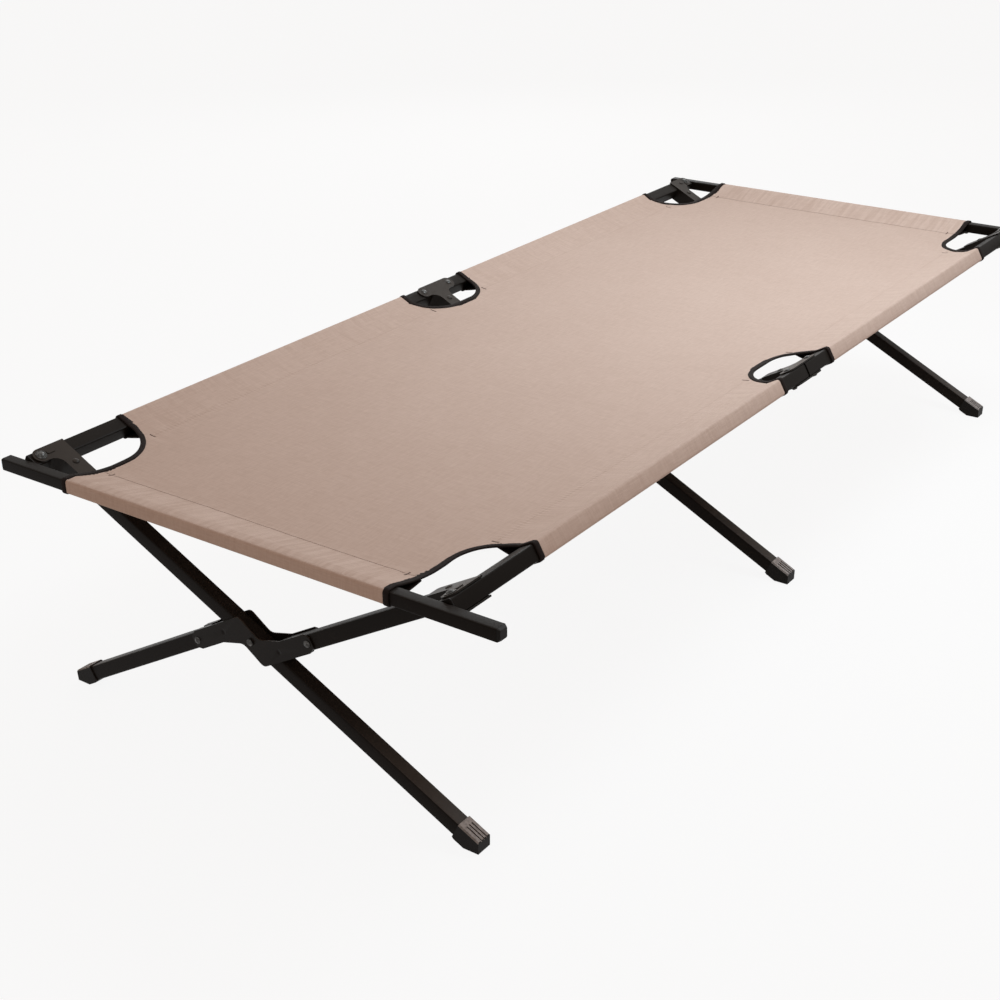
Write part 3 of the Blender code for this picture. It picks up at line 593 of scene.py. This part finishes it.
creaseLook = {
    "tackIn": 0.017,          # from the tape to a seam's bar tack
    "tackDip": 0.0011,
    "tackSpread": 0.00007,    # square metres
    "inside": 0.02,           # ripples are full up to this far inside a seam
    "hem": {"height": 0.0007, "reach": 0.035, "coarse": (62, 7, 3.1), "fine": (130, 12, 8.3)},
    "sleeve": {"height": 0.0005, "reach": 0.03, "coarse": (38, 9, 5.7), "fine": (90, 14, 1.3)},
    "slack": 0.0007,
    "slackScales": (3.1, 5.3, 0.7),
    "sleeveKink": 0.3,        # slope that a seam's crease rounds off
    "hemKink": 0.27,
    "edgeReach": 0.03,        # how far a cut edge is felt along its seam
    "cornerCut": 0.02,        # a sleeve's seam ends this far beyond the sleeve
}


def tackPlaces():
    # where bar tacks cross the seams: flat place and direction of the seam, in one quarter
    inner = tapeLook["width"] + creaseLook["tackIn"]
    radius = slingLook["cornerRadius"]
    cornerU = sleeveEnd + radius - math.sqrt(radius ** 2 - (radius - sideSeam + hemEnd) ** 2)
    hemV = hemEnd + radius - math.sqrt(radius ** 2 - max(0.0, radius - endSeam + sleeveEnd) ** 2)
    radius = slingLook["midRadius"]
    midU = (slingLook["midHalf"] - radius
            + math.sqrt(radius ** 2 - (radius - sideSeam + midInner) ** 2))
    return [((cornerU - inner, sideSeam), (1, 0)), ((midU + inner, sideSeam), (1, 0)),
            ((endSeam, hemV - inner), (0, 1))]


tacks = tackPlaces()


def ripple(look, along, out, seam):
    # creases square to a seam, which die away over the bed
    near = math.exp(-max(0.0, seam + creaseLook["inside"] - abs(out)) / look["reach"])
    coarse, fine = (noise.noise(Vector((along * often, out * drawn, layer)))
                    for often, drawn, layer in (look["coarse"], look["fine"]))
    return look["height"] * near * (coarse + 0.5 * fine)


def wrinkle(u, v):
    # small lasting creases: dips at the tacks, ripples by the seams and a hint of slackness
    look = creaseLook
    lift = 0.0
    for (tackU, tackV), _ in tacks:
        away = (abs(u) - tackU) ** 2 + (abs(v) - tackV) ** 2
        lift -= look["tackDip"] * math.exp(-away / look["tackSpread"])
    lift += ripple(look["hem"], v, u, endSeam)
    lift += ripple(look["sleeve"], u, v, sideSeam)
    scaleU, scaleV, layer = look["slackScales"]
    return lift + look["slack"] * noise.noise(Vector((u * scaleU, v * scaleV, layer)))


def slide(u):
    # the left hem sits a little to the near side on its bar
    share = min(1.0, max(0.0, (-u - sleeveEnd) / slingLook["slideReach"]))
    return -slingLook["hemSlide"] * share * share * (3 - 2 * share)


def soften(run, seamAt, kink, nearEdge):
    # rounds the crease at a seam, more so where the seam runs out at a cut edge
    reach = slingLook["seamSoftness"] + slingLook["edgeSoftness"] * nearEdge
    away = abs(run - seamAt)
    return kink / (4 * reach) * (reach - away) ** 2 if away < reach else 0.0


def sideCrease(u, v):
    look = creaseLook
    toEdge = 0.0
    if slingLook["midHalf"] <= abs(u) <= sleeveEnd:
        toEdge = min(abs(u) - slingLook["midHalf"], sleeveEnd + look["cornerCut"] - abs(u))
    return soften(abs(v), sideSeam, look["sleeveKink"], math.exp(-toEdge / look["edgeReach"]))


def endCrease(u, v):
    look = creaseLook
    toEdge = max(0.0, hemEnd - abs(v))
    return soften(abs(u), endSeam, look["hemKink"], math.exp(-toEdge / look["edgeReach"]))


def foldMargin(path, run, lift, wrinkled, crease, seamCrease):
    # place on a margin's section: the seam's crease is on its top, as far as the tube, and
    # its free edge below follows the crease above it
    spot, normal = path.at(run)
    share = min(1.0, (run - path.runs[0]) / (path.runs[1] - path.runs[0]))
    if share == 1:
        crease = seamCrease * max(0.0, (run - path.runs[-2]) / (path.end - path.runs[-2])) ** 2
    spot = spot + normal * (lift + wrinkled * (1 - share) ** 0.5)
    return spot.x, spot.y + crease


def foldCloth(u, v, lift=0.0):
    # place of the point (u, v) of the flat cut, lift above the cloth's middle
    wrinkled = wrinkle(u, v)
    if abs(v) > sideSeam:
        side = 1 if v > 0 else -1
        out, height = foldMargin(paths[side], abs(v), lift, wrinkled, sideCrease(u, v),
                                 sideCrease(u, sideSeam))
        return Vector((u, midY + side * out + slide(u), height))
    if abs(u) > endSeam:
        end = 1 if u > 0 else -1
        out, height = foldMargin(hemPath, abs(u), lift, wrinkled, endCrease(u, v),
                                 endCrease(endSeam, v))
        return Vector((end * out, midY + v + slide(u), height))
    sink = slingLook["dip"] * (1 - (u / endSeam) ** 2) * (1 - (v / sideSeam) ** 2)
    crease = max(sideCrease(u, v), endCrease(u, v))
    height = railHeight - slingLook["seamDrop"] + lift + crease - sink + wrinkled
    return Vector((u, midY + v + slide(u), height))


def deselect():
    bpy.ops.object.select_all(action="DESELECT")


def makeActive(obj):
    deselect()
    obj.select_set(True)
    bpy.context.view_layer.objects.active = obj


def applyAll(obj):
    makeActive(obj)
    for modifier in list(obj.modifiers):
        bpy.ops.object.modifier_apply(modifier=modifier.name)


def flatGrid(name, columns, rows):
    # a flat sheet with its own lines
    deselect()
    bpy.ops.mesh.primitive_grid_add(x_subdivisions=len(columns) - 1, y_subdivisions=len(rows) - 1,
                                    size=2)
    obj = bpy.context.object
    obj.name = obj.data.name = name
    for vert in obj.data.vertices:
        i = round((vert.co.x + 1) / 2 * (len(columns) - 1))
        j = round((vert.co.y + 1) / 2 * (len(rows) - 1))
        vert.co = (columns[i], rows[j], 0)
    return obj


def keepFlatCut(obj):
    # keeps the flat cut in metres as the piece's UV map
    for layer in list(obj.data.uv_layers):
        obj.data.uv_layers.remove(layer)
    layer = obj.data.uv_layers.new(name="flatCut")
    for loop in obj.data.loops:
        spot = obj.data.vertices[loop.vertex_index].co
        layer.data[loop.index].uv = (spot.x, spot.y)


def evenLines(low, high, cell):
    count = max(1, math.ceil((high - low) / cell))
    return [low + (high - low) * i / count for i in range(count + 1)]


def linesAcross(path, last):
    # the bed's even lines, finer by its seams, then the path's own corners up to last
    seam, tube = path.runs[0], path.runs[1:-1]
    bed = evenLines(-seam + 0.012, seam - 0.012, slingLook["cell"])
    near = [seam - gap for gap in reversed(slingLook["seamLines"])] + [seam]
    near += [seam + gap for gap in slingLook["seamLines"]]
    margin = evenLines(seam + 0.014, tube[0] - 0.004, slingLook["cell"])
    under = evenLines(tube[-1], path.end, slingLook["cell"] * 1.5)[1:]
    half = [run for run in near + margin + tube + under if run <= last + 1e-9]
    return [-run for run in reversed(half)] + bed + half


def thicken(obj, thickness):
    solid = obj.modifiers.new("thickness", "SOLIDIFY")
    solid.thickness = thickness
    solid.offset = 0
    applyAll(obj)


def roundedBlock(width, depth, centre, radius):
    # upright block with rounded corners, to cut the flat cloth
    deselect()
    bpy.ops.mesh.primitive_cube_add(size=1, location=(*centre, 0))
    block = bpy.context.object
    block.scale = (width, depth, 0.02)
    bpy.ops.object.transform_apply(location=True, rotation=True, scale=True)
    upright = [(block.data.vertices[edge.vertices[0]].co
                - block.data.vertices[edge.vertices[1]].co).xy.length < 1e-6
               for edge in block.data.edges]
    bpy.ops.object.mode_set(mode="EDIT")
    bpy.ops.mesh.select_mode(type="EDGE")
    bpy.ops.mesh.select_all(action="DESELECT")
    bpy.ops.object.mode_set(mode="OBJECT")
    for edge, chosen in zip(block.data.edges, upright):
        edge.select = chosen
    bpy.ops.object.mode_set(mode="EDIT")
    bpy.ops.mesh.bevel(offset=radius, segments=slingLook["cutSegments"], profile=0.5)
    bpy.ops.object.mode_set(mode="OBJECT")
    return block


def cutAway(obj, blocks):
    for block in blocks:
        cut = obj.modifiers.new("cut", "BOOLEAN")
        cut.operation = "DIFFERENCE"
        cut.solver = "EXACT"
        cut.object = block
    applyAll(obj)
    for block in blocks:
        bpy.data.objects.remove(block)


def cutOutBlocks():
    look = slingLook
    reach = 0.3               # well beyond the cloth's edge
    blocks = []
    for side in (-1, 1):
        depth = look["midDepth"] + reach
        centre = (0, side * (midInner + depth / 2))
        blocks.append(roundedBlock(2 * look["midHalf"], depth, centre, look["midRadius"]))
        for end in (-1, 1):
            centre = (end * (sleeveEnd + reach), side * (hemEnd + reach))
            blocks.append(roundedBlock(2 * reach, 2 * reach, centre, look["cornerRadius"]))
    return blocks


def finishCloth(obj, material, angle=40):
    obj.data.materials.clear()
    obj.data.materials.append(material)
    makeActive(obj)
    bpy.ops.object.shade_smooth_by_angle(angle=math.radians(angle))


def foldAll(obj, fold):
    for vert in obj.data.vertices:
        vert.co = fold(*vert.co)


def makeSling():
    sling = flatGrid("slingCloth", linesAcross(hemPath, hemPath.topEnd),
                     linesAcross(paths[1], paths[1].end))
    thicken(sling, slingLook["thickness"])
    cutAway(sling, cutOutBlocks())
    keepFlatCut(sling)
    area = sum(face.area for face in sling.data.polygons if face.normal.z > 0.5)
    foldAll(sling, foldCloth)
    finishCloth(sling, finishes["cloth"])
    return sling, (2 * paths[1].end, 2 * hemPath.topEnd), area


sling, slingCut, slingArea = makeSling()
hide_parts("sling")
print("sling folded:", len(sling.data.polygons), "faces, area", round(slingArea, 3))


# The hem's underside, and the strip of cloth that each bar carries through it

hemLook = {
    "cell": 0.012,
    "lip": 0.018,             # strip's turned edges, between the bar and the sling
    "lipGap": 0.00042,        # from the bar to the lip's middle
    "skinGap": 0.00115,       # from the bar to the strip's middle, outside the sling's edge
    "riseFrom": -0.0006,      # from the bar's corner, where the lip leaves the bar
    "riseTo": 0.0002,
    "turnSteps": 6,
    "stripThickness": 0.0006,
}
ends = {"Left": -1, "Right": 1}
sides = {"Near": -1, "Far": 1}


def faceOutwards(obj, close=False):
    makeActive(obj)
    bpy.ops.object.mode_set(mode="EDIT")
    bpy.ops.mesh.select_all(action="SELECT")
    if close:
        bpy.ops.mesh.remove_doubles(threshold=0.00001)
        bpy.ops.mesh.fill_holes(sides=0)
        bpy.ops.mesh.select_all(action="SELECT")
    bpy.ops.mesh.normals_make_consistent(inside=False)
    bpy.ops.object.mode_set(mode="OBJECT")


def undersideRuns():
    # the hem path's corners below the bar, then even steps back to the seam
    runs = hemPath.runs[hemPath.runs.index(hemPath.lowStart):-2]
    return runs + evenLines(hemPath.runs[-2], hemPath.end, hemLook["cell"])


def makeHemFlap(name, end):
    columns = undersideRuns()
    flap = flatGrid(f"hemFlap{name}", columns, evenLines(-hemEnd, hemEnd, hemLook["cell"]))
    keepFlatCut(flap)
    thicken(flap, slingLook["thickness"])
    foldAll(flap, lambda u, v, lift: foldCloth(end * u, v, lift))
    if end < 0:
        faceOutwards(flap)
    finishCloth(flap, finishes["cloth"])
    return flap, (2 * hemEnd, columns[-1] - columns[0])


def stripPath():
    # from the upper lip's free edge round the bar to the lower lip's, in x and z from its middle
    look = hemLook
    half = frameSizes["barSize"] / 2
    corner = half - frameSizes["tubeCorner"]
    radius = frameSizes["tubeCorner"] + look["skinGap"]
    lip = half + look["lipGap"]
    upper = [(half - look["lip"], lip), (half - look["lip"] / 2, lip),
             (corner + look["riseFrom"], lip), (corner + look["riseTo"], half + look["skinGap"])]
    for step in range(1, look["turnSteps"] + 1):
        t = math.pi / 2 * (1 - step / look["turnSteps"])
        upper.append((corner + radius * math.cos(t), corner + radius * math.sin(t)))
    return [Vector(spot) for spot in upper + [(x, -z) for x, z in reversed(upper)]]


def atBar(end, across, spot):
    # place beside a bar: across the cot, and in x and z from the bar's middle
    return Vector((end * (barX + spot.x), midY + across + slide(end * barX), railHeight + spot.y))


def makeHemStrip(name, end):
    path = stripPath()
    runs = runsAlong(path)
    strip = flatGrid(f"hemStrip{name}", runs, evenLines(-hemEnd, hemEnd, hemLook["cell"]))
    keepFlatCut(strip)
    for vert in strip.data.vertices:
        spot = path[int(np.argmin(np.abs(np.array(runs) - vert.co.x)))]
        vert.co = atBar(end, vert.co.y, spot)
    faceOutwards(strip)
    thicken(strip, hemLook["stripThickness"])
    finishCloth(strip, finishes["cloth"], 60)
    return strip, (2 * hemEnd, runs[-1])


hemFlaps, hemStrips = {}, {}
for name, end in ends.items():
    hemFlaps[name] = makeHemFlap(name, end)
    hemStrips[name] = makeHemStrip(name, end)
print("hems made")


# Black tape folded over the cut edges

def tapeSection():
    # the tape's own outline across its width: a into the cloth, b above the cloth's middle;
    # an a from 1 to 2 runs over the wide black under side, which is painted shade
    width, over, top, under = (tapeLook[key] for key in ("width", "over", "top", "under"))
    return [(width, 0.0005), (width - 0.0004, top * 0.8), (width - 0.0014, top),
            (width * 0.5, top * 1.04), (0.0008, top * 1.08), (-over * 0.6, top * 0.92),
            (-over * 0.95, top * 0.5), (-over, 0.0), (-over * 0.9, -under * 0.6),
            (-over * 0.45, -under), (width * 0.5, -under), (width, -under),
            (1 + 1 / 3, -under), (1 + 2 / 3, -under), (2, -under), (2, -0.0005)]


def roundSleeve(u, start):
    # flat places and inward normals of a cut edge round a rail, from its free end in to start
    path = paths[1]
    runs = [run for run in path.runs[1:] if run > start]
    runs += evenLines(path.runs[-2], path.end, tapeLook["cell"])
    return [((u, run), (-1, 0)) for run in sorted(set(runs), reverse=True)]


def roundOff(u, v, radius):
    # the quarter turn that follows
    turns = [math.pi / 2 * i / tapeLook["arcSteps"] for i in range(tapeLook["arcSteps"] + 1)]
    return [((u + radius * (1 - math.cos(t)), v + radius * (1 - math.sin(t))),
             (-math.cos(t), -math.sin(t))) for t in turns]


def cornerBorder():
    # a corner's cut edge, from the sleeve to the hem
    radius = slingLook["cornerRadius"]
    start = sleeveEnd + radius
    columns = [run for run in hemPath.runs[1:] if start + 0.003 < run <= hemPath.topEnd + 1e-9]
    columns += evenLines(start, hemPath.runs[1], tapeLook["cell"])[1:]
    return (roundSleeve(sleeveEnd, hemEnd + radius + 0.004) + roundOff(sleeveEnd, hemEnd, radius)
            + [((run, hemEnd), (0, -1)) for run in sorted(set(columns))])


def midBorder():
    half, radius = slingLook["midHalf"], slingLook["midRadius"]
    side = roundSleeve(-half, midInner + radius + 0.002) + roundOff(-half, midInner, radius)
    straight = evenLines(radius - half, half - radius, 0.008)[1:-1]
    middle = [((run, midInner), (0, -1)) for run in straight]
    other = [((-u, v), (-du, dv)) for (u, v), (du, dv) in reversed(side)]
    return side + middle + other


def undersideWidths(border):
    # width of the under side at each step: wide on a straight edge, where the black is painted
    # shade, the tape's on the arc
    wide, narrow = tapeLook["paintedShadeWidth"], tapeLook["width"]
    shares = [max(abs(du), abs(dv)) for _, (du, dv) in border]
    return [narrow * 1.03 + (wide - narrow) * max(0.0, (share - 0.94) / 0.06) ** 2
            for share in shares]


def makeTape(name, place, lengths):
    # a closed flat tube along the edge; place gives the spot for a step, a and b
    section = tapeSection()
    rings = section + section[:1]
    across = runsAlong([(min(a, 0.01), b) for a, b in rings])
    tape = flatGrid(name, range(len(lengths)), range(len(rings)))
    keepFlatCut(tape)
    layer = tape.data.uv_layers["flatCut"]
    for loop in tape.data.loops:
        spot = tape.data.vertices[loop.vertex_index].co
        layer.data[loop.index].uv = (lengths[round(spot.x)], across[round(spot.y)])
    for vert in tape.data.vertices:
        vert.co = place(round(vert.co.x), *rings[round(vert.co.y)])
    faceOutwards(tape, close=True)
    finishCloth(tape, finishes["tape"], 70)
    return tape


def tapeAlong(name, border, mirrorU, mirrorV):
    lengths = runsAlong([spot for spot, _ in border])
    underWidths = undersideWidths(border)
    width = tapeLook["width"]

    def place(step, a, b):
        (u, v), (du, dv) = border[step]
        # the wide black under side: painted shade inside the sleeves and hems
        if a >= 1:
            a = width + (underWidths[step] - width) * (a - 1)
        elif a > width / 2:
            wave = noise.noise(Vector((lengths[step] * 60, mirrorU * 3, mirrorV * 5)))
            a += tapeLook["waver"] * wave
        return foldCloth(mirrorU * (u + a * du), mirrorV * (v + a * dv), b)

    return makeTape(name, place, lengths)


cornerEdge, midEdge = cornerBorder(), midBorder()
clothTapes = []
for name, end in ends.items():
    for sideName, side in sides.items():
        clothTapes.append(tapeAlong(f"edgeTape{name}{sideName}", cornerEdge, end, side))
for sideName, side in sides.items():
    clothTapes.append(tapeAlong(f"edgeTapeMid{sideName}", midEdge, 1, side))


def makeCollar(name, end, side):
    # the same tape, round the part of the bar that the strip covers
    corner = frameSizes["barSize"] / 2 - frameSizes["tubeCorner"]
    path = [spot for spot in stripPath() if spot.x > corner + 0.0001]
    normals = []
    for i in range(len(path)):
        along = path[min(i + 1, len(path) - 1)] - path[max(i - 1, 0)]
        normals.append(Vector((-along.y, along.x)).normalized())

    def place(step, a, b):
        # the under side lies on the strip and hardly passes the tape's width
        a = min(a, tapeLook["width"] * (1 + 0.01 * max(0.0, a - 1)))
        b = max(b - 0.00005, -0.0009)
        return atBar(end, side * (hemEnd - a), path[step] + normals[step] * b)

    return makeTape(name, place, runsAlong(path))


flapEdge = [((run, hemEnd), (0, -1)) for run in undersideRuns()]
flapTapes, collars = {}, {}
for name, end in ends.items():
    flapTapes[name] = [tapeAlong(f"flapTape{name}{sideName}", flapEdge, end, side)
                       for sideName, side in sides.items()]
    collars[name] = [makeCollar(f"barCollar{name}{sideName}", end, side)
                     for sideName, side in sides.items()]
print("edge tape made")


# Stitching: one thread, copied along the seams

stitchLook = {
    "pitch": 0.0036,
    "length": 0.0027,
    "radius": 0.00024,
    "lift": 0.00042,          # above the cloth's middle
    "rowInset": 0.0014,       # the tape's row, from its inner edge
    "seamReach": 0.016,       # a seam's row goes on beyond its tack
    "tackLength": 0.0115,
    "tackWidth": 0.0034,
    "tackStitches": 22,
    "tackSlant": 0.35,
    "tackRadius": 1.4,        # against a stitch's
    "tackLift": 0.00062,
}


def makeThreadTemplate():
    # short round thread whose tips dip into the cloth
    deselect()
    bpy.ops.mesh.primitive_cylinder_add(vertices=6, radius=1, depth=2, end_fill_type="TRIFAN")
    thread = bpy.context.object
    bpy.ops.object.mode_set(mode="EDIT")
    bpy.ops.mesh.select_all(action="SELECT")
    bpy.ops.transform.rotate(value=math.pi / 2, orient_axis="Y", center_override=(0, 0, 0))
    for cut in (0.45, -0.45):
        bpy.ops.mesh.select_all(action="SELECT")
        bpy.ops.mesh.bisect(plane_co=(cut, 0, 0), plane_no=(1, 0, 0))
    bpy.ops.object.mode_set(mode="OBJECT")
    spots = np.array([vert.co for vert in thread.data.vertices])
    faces = [tuple(face.vertices) for face in thread.data.polygons]
    bpy.data.objects.remove(thread)
    tips = np.abs(spots[:, 0]) > 0.9
    spots[tips, 2] -= 1.5
    spots[tips, 1:] *= 0.75
    return spots, faces


threadSpots, threadFaces = makeThreadTemplate()


def sewStitches(name, threads, finish):
    # threads: middle, direction along, upward normal, length, radius
    spots, faces = [], []
    for middle, along, up, length, radius in threads:
        along = along.normalized()
        across = up.cross(along).normalized()
        up = along.cross(across)
        base = len(spots)
        for x, y, z in threadSpots:
            spots.append(middle + along * (x * length / 2) + across * (y * radius)
                         + up * (z * radius))
        faces += [tuple(base + i for i in face) for face in threadFaces]
    mesh = bpy.data.meshes.new(name)
    mesh.from_pydata(spots, [], faces)
    stitches = bpy.data.objects.new(name, mesh)
    bpy.context.scene.collection.objects.link(stitches)
    mesh.materials.append(finishes[finish])
    mesh.shade_smooth()
    return stitches


def threadOn(u, v, du, dv, length, lift, radius):
    # one thread lying on the folded cloth at (u, v), along (du, dv)
    middle = foldCloth(u, v, lift)
    ahead = foldCloth(u + du * 0.001, v + dv * 0.001, lift)
    above = foldCloth(u, v, lift + 0.001)
    return middle, ahead - middle, above - middle, length, radius


def seamThreads(start, stop):
    look = stitchLook
    span = math.dist(start, stop)
    du, dv = (stop[0] - start[0]) / span, (stop[1] - start[1]) / span
    places = [look["pitch"] * (i + 0.5) for i in range(int(span / look["pitch"]))]
    return [threadOn(start[0] + du * place, start[1] + dv * place, du, dv, look["length"],
                     look["lift"], look["radius"]) for place in places]


def tackThreads(u, v, du, dv):
    # a bar of close stitches across the seam that runs along (du, dv)
    look = stitchLook
    threads = []
    for i in range(look["tackStitches"]):
        t = (i / (look["tackStitches"] - 1) - 0.5) * look["tackLength"]
        slant = look["tackSlant"] if i % 2 else -look["tackSlant"]
        threads.append(threadOn(u - dv * t, v + du * t, du - dv * slant, dv + du * slant,
                                look["tackWidth"], look["tackLift"],
                                look["radius"] * look["tackRadius"]))
    return threads


def borderThreads(border, mirrorU, mirrorV):
    # the tape's own row of stitches, just inside its inner edge
    look = stitchLook
    inset = tapeLook["width"] - look["rowInset"]
    row = [(u + inset * du, v + inset * dv) for (u, v), (du, dv) in border]
    threads, left = [], look["pitch"] / 2
    for (u0, v0), (u1, v1) in zip(row, row[1:]):
        span = math.hypot(u1 - u0, v1 - v0)
        du, dv = (u1 - u0) / span, (v1 - v0) / span
        while left < span:
            threads.append(threadOn(mirrorU * (u0 + du * left), mirrorV * (v0 + dv * left),
                                    mirrorU * du, mirrorV * dv, look["length"],
                                    tapeLook["top"] * 1.01, look["radius"]))
            left += look["pitch"]
        left -= span
    return threads


def makeStitching():
    sleeveThread, hemThread, tackThread, tapeThread = [], [], [], []
    (cornerU, v), (midU, _), (u, hemV) = (spot for spot, _ in tacks)
    reach = stitchLook["seamReach"]
    for side in (-1, 1):
        for end in (-1, 1):
            sleeveThread += seamThreads((end * (midU - reach), side * v),
                                        (end * (cornerU + reach), side * v))
            tapeThread += borderThreads(cornerEdge, end, side)
            for (tackU, tackV), (du, dv) in tacks:
                tackThread += tackThreads(end * tackU, side * tackV, du, dv)
        tapeThread += borderThreads(midEdge, 1, side)
    for end in (-1, 1):
        hemThread += seamThreads((end * u, -hemV - reach), (end * u, hemV + reach))
    return [sewStitches("sleeveStitches", sleeveThread, "sleeveThread"),
            sewStitches("hemStitches", hemThread, "hemThread"),
            sewStitches("barTacks", tackThread, "tackThread"),
            sewStitches("tapeStitches", tapeThread, "tapeThread")]


stitching = makeStitching()
print("stitching made:", sum(len(piece.data.polygons) for piece in stitching), "faces")


# Camera, lights and floor

cameraLook = {
    "place": (-2.3015, -1.4028, 1.3350),
    "azimuth": 54.23,
    "elevation": 25.315,
    "roll": -0.815,
    "focal": 1.6209,          # against the picture's width
    "sensor": 36,
}

lightLook = {
    "ambient": (1.0, 0.80, 0.68),
    "ambientLevel": 0.45,
    "seen": (0.957, 0.957, 0.952),   # the backdrop, as white as the floor
    "key": {"place": (0.5, -0.45, 1.75), "target": (0.1, -0.1, 0.35), "size": (0.9, 0.6),
            "power": 20.3, "colour": (0.78, 0.91, 1.0)},
    "rim": {"place": (2.9, 2.3, 1.6), "target": (0.2, 0.2, 0.35), "size": (2.0, 1.0),
            "power": 20, "colour": (0.95, 0.98, 1.0)},
}

floorLook = {
    "size": 40,
    "surface": {"Base_Color": (0.8, 0.8, 0.8, 1), "Roughness": 0.9, "Specular_IOR_Level": 0.1},
    "glow": 0.9,              # how much of the floor's white is its own
}


def makeCamera():
    data = bpy.data.cameras.new("camera")
    data.sensor_width = cameraLook["sensor"]
    data.lens = cameraLook["focal"] * cameraLook["sensor"]
    data.clip_end = 60
    camera = bpy.data.objects.new("camera", data)
    bpy.context.scene.collection.objects.link(camera)
    azimuth, elevation, roll = (math.radians(cameraLook[key])
                                for key in ("azimuth", "elevation", "roll"))
    ahead = Vector((math.sin(azimuth) * math.cos(elevation),
                    math.cos(azimuth) * math.cos(elevation), -math.sin(elevation)))
    right = ahead.cross(Vector((0, 0, 1))).normalized()
    up = right.cross(ahead)
    right, up = (right * math.cos(roll) + up * math.sin(roll),
                 up * math.cos(roll) - right * math.sin(roll))
    turned = Matrix((right, up, -ahead)).transposed().to_4x4()
    camera.matrix_world = Matrix.Translation(cameraLook["place"]) @ turned
    bpy.context.scene.camera = camera


def areaLight(name, place, target, size, power, colour):
    data = bpy.data.lights.new(name, "AREA")
    data.color = colour
    data.shape = "RECTANGLE"
    data.size, data.size_y = size
    data.energy = power
    lamp = bpy.data.objects.new(name, data)
    bpy.context.scene.collection.objects.link(lamp)
    lamp.visible_camera = False
    lamp.location = place
    lamp.rotation_euler = (Vector(target) - Vector(place)).to_track_quat("-Z", "Y").to_euler()


def makeWorld():
    # white where it is seen or mirrored, a soft warm light elsewhere
    world = bpy.data.worlds.new("studio")
    bpy.context.scene.world = world
    world.use_nodes = True
    studio = Graph(world.node_tree)
    white = studio.tree.nodes["Background"]
    studio.fill(white, {"Color": (*lightLook["seen"], 1)})
    soft = studio.add("ShaderNodeBackground", {}, {
        "Color": (*lightLook["ambient"], 1), "Strength": lightLook["ambientLevel"]})
    mixed = studio.mixShaders(studio.seen(), soft, Wire(studio, white.outputs[0]))
    studio.fill(studio.tree.nodes["World Output"], {"Surface": mixed})


def makeFloor():
    deselect()
    bpy.ops.mesh.primitive_plane_add(size=floorLook["size"])
    floor = bpy.context.object
    floor.name = "floor"
    pale = Finish("paleFloor", **floorLook["surface"])
    glow = pale.add("ShaderNodeEmission", {}, {"Strength": 1.0})
    mixed = pale.mixShaders(pale.seen() * floorLook["glow"],
                            Wire(pale, pale.shader.outputs[0]), glow)
    pale.fill(pale.tree.nodes["Material Output"], {"Surface": mixed})
    floor.data.materials.append(pale.material)


makeCamera()
makeWorld()
makeFloor()
for name in ("key", "rim"):
    areaLight(f"{name}Light", **lightLook[name])
bpy.context.scene.view_settings.view_transform = "Standard"
print("camera, lights and floor made")


# How the pieces move

for piece in [sling] + clothTapes + stitching:
    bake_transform(piece)
clothTapes + stitching
for name, end in ends.items():
    bar = f"{name.lower()}_bar"
    flap, flapCut = hemFlaps[name]
    strip, stripCut = hemStrips[name]
    for piece in [flap] + flapTapes[name]:
        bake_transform(piece)
    for piece in [strip] + collars[name]:
        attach(piece, bar)
        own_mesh(piece)
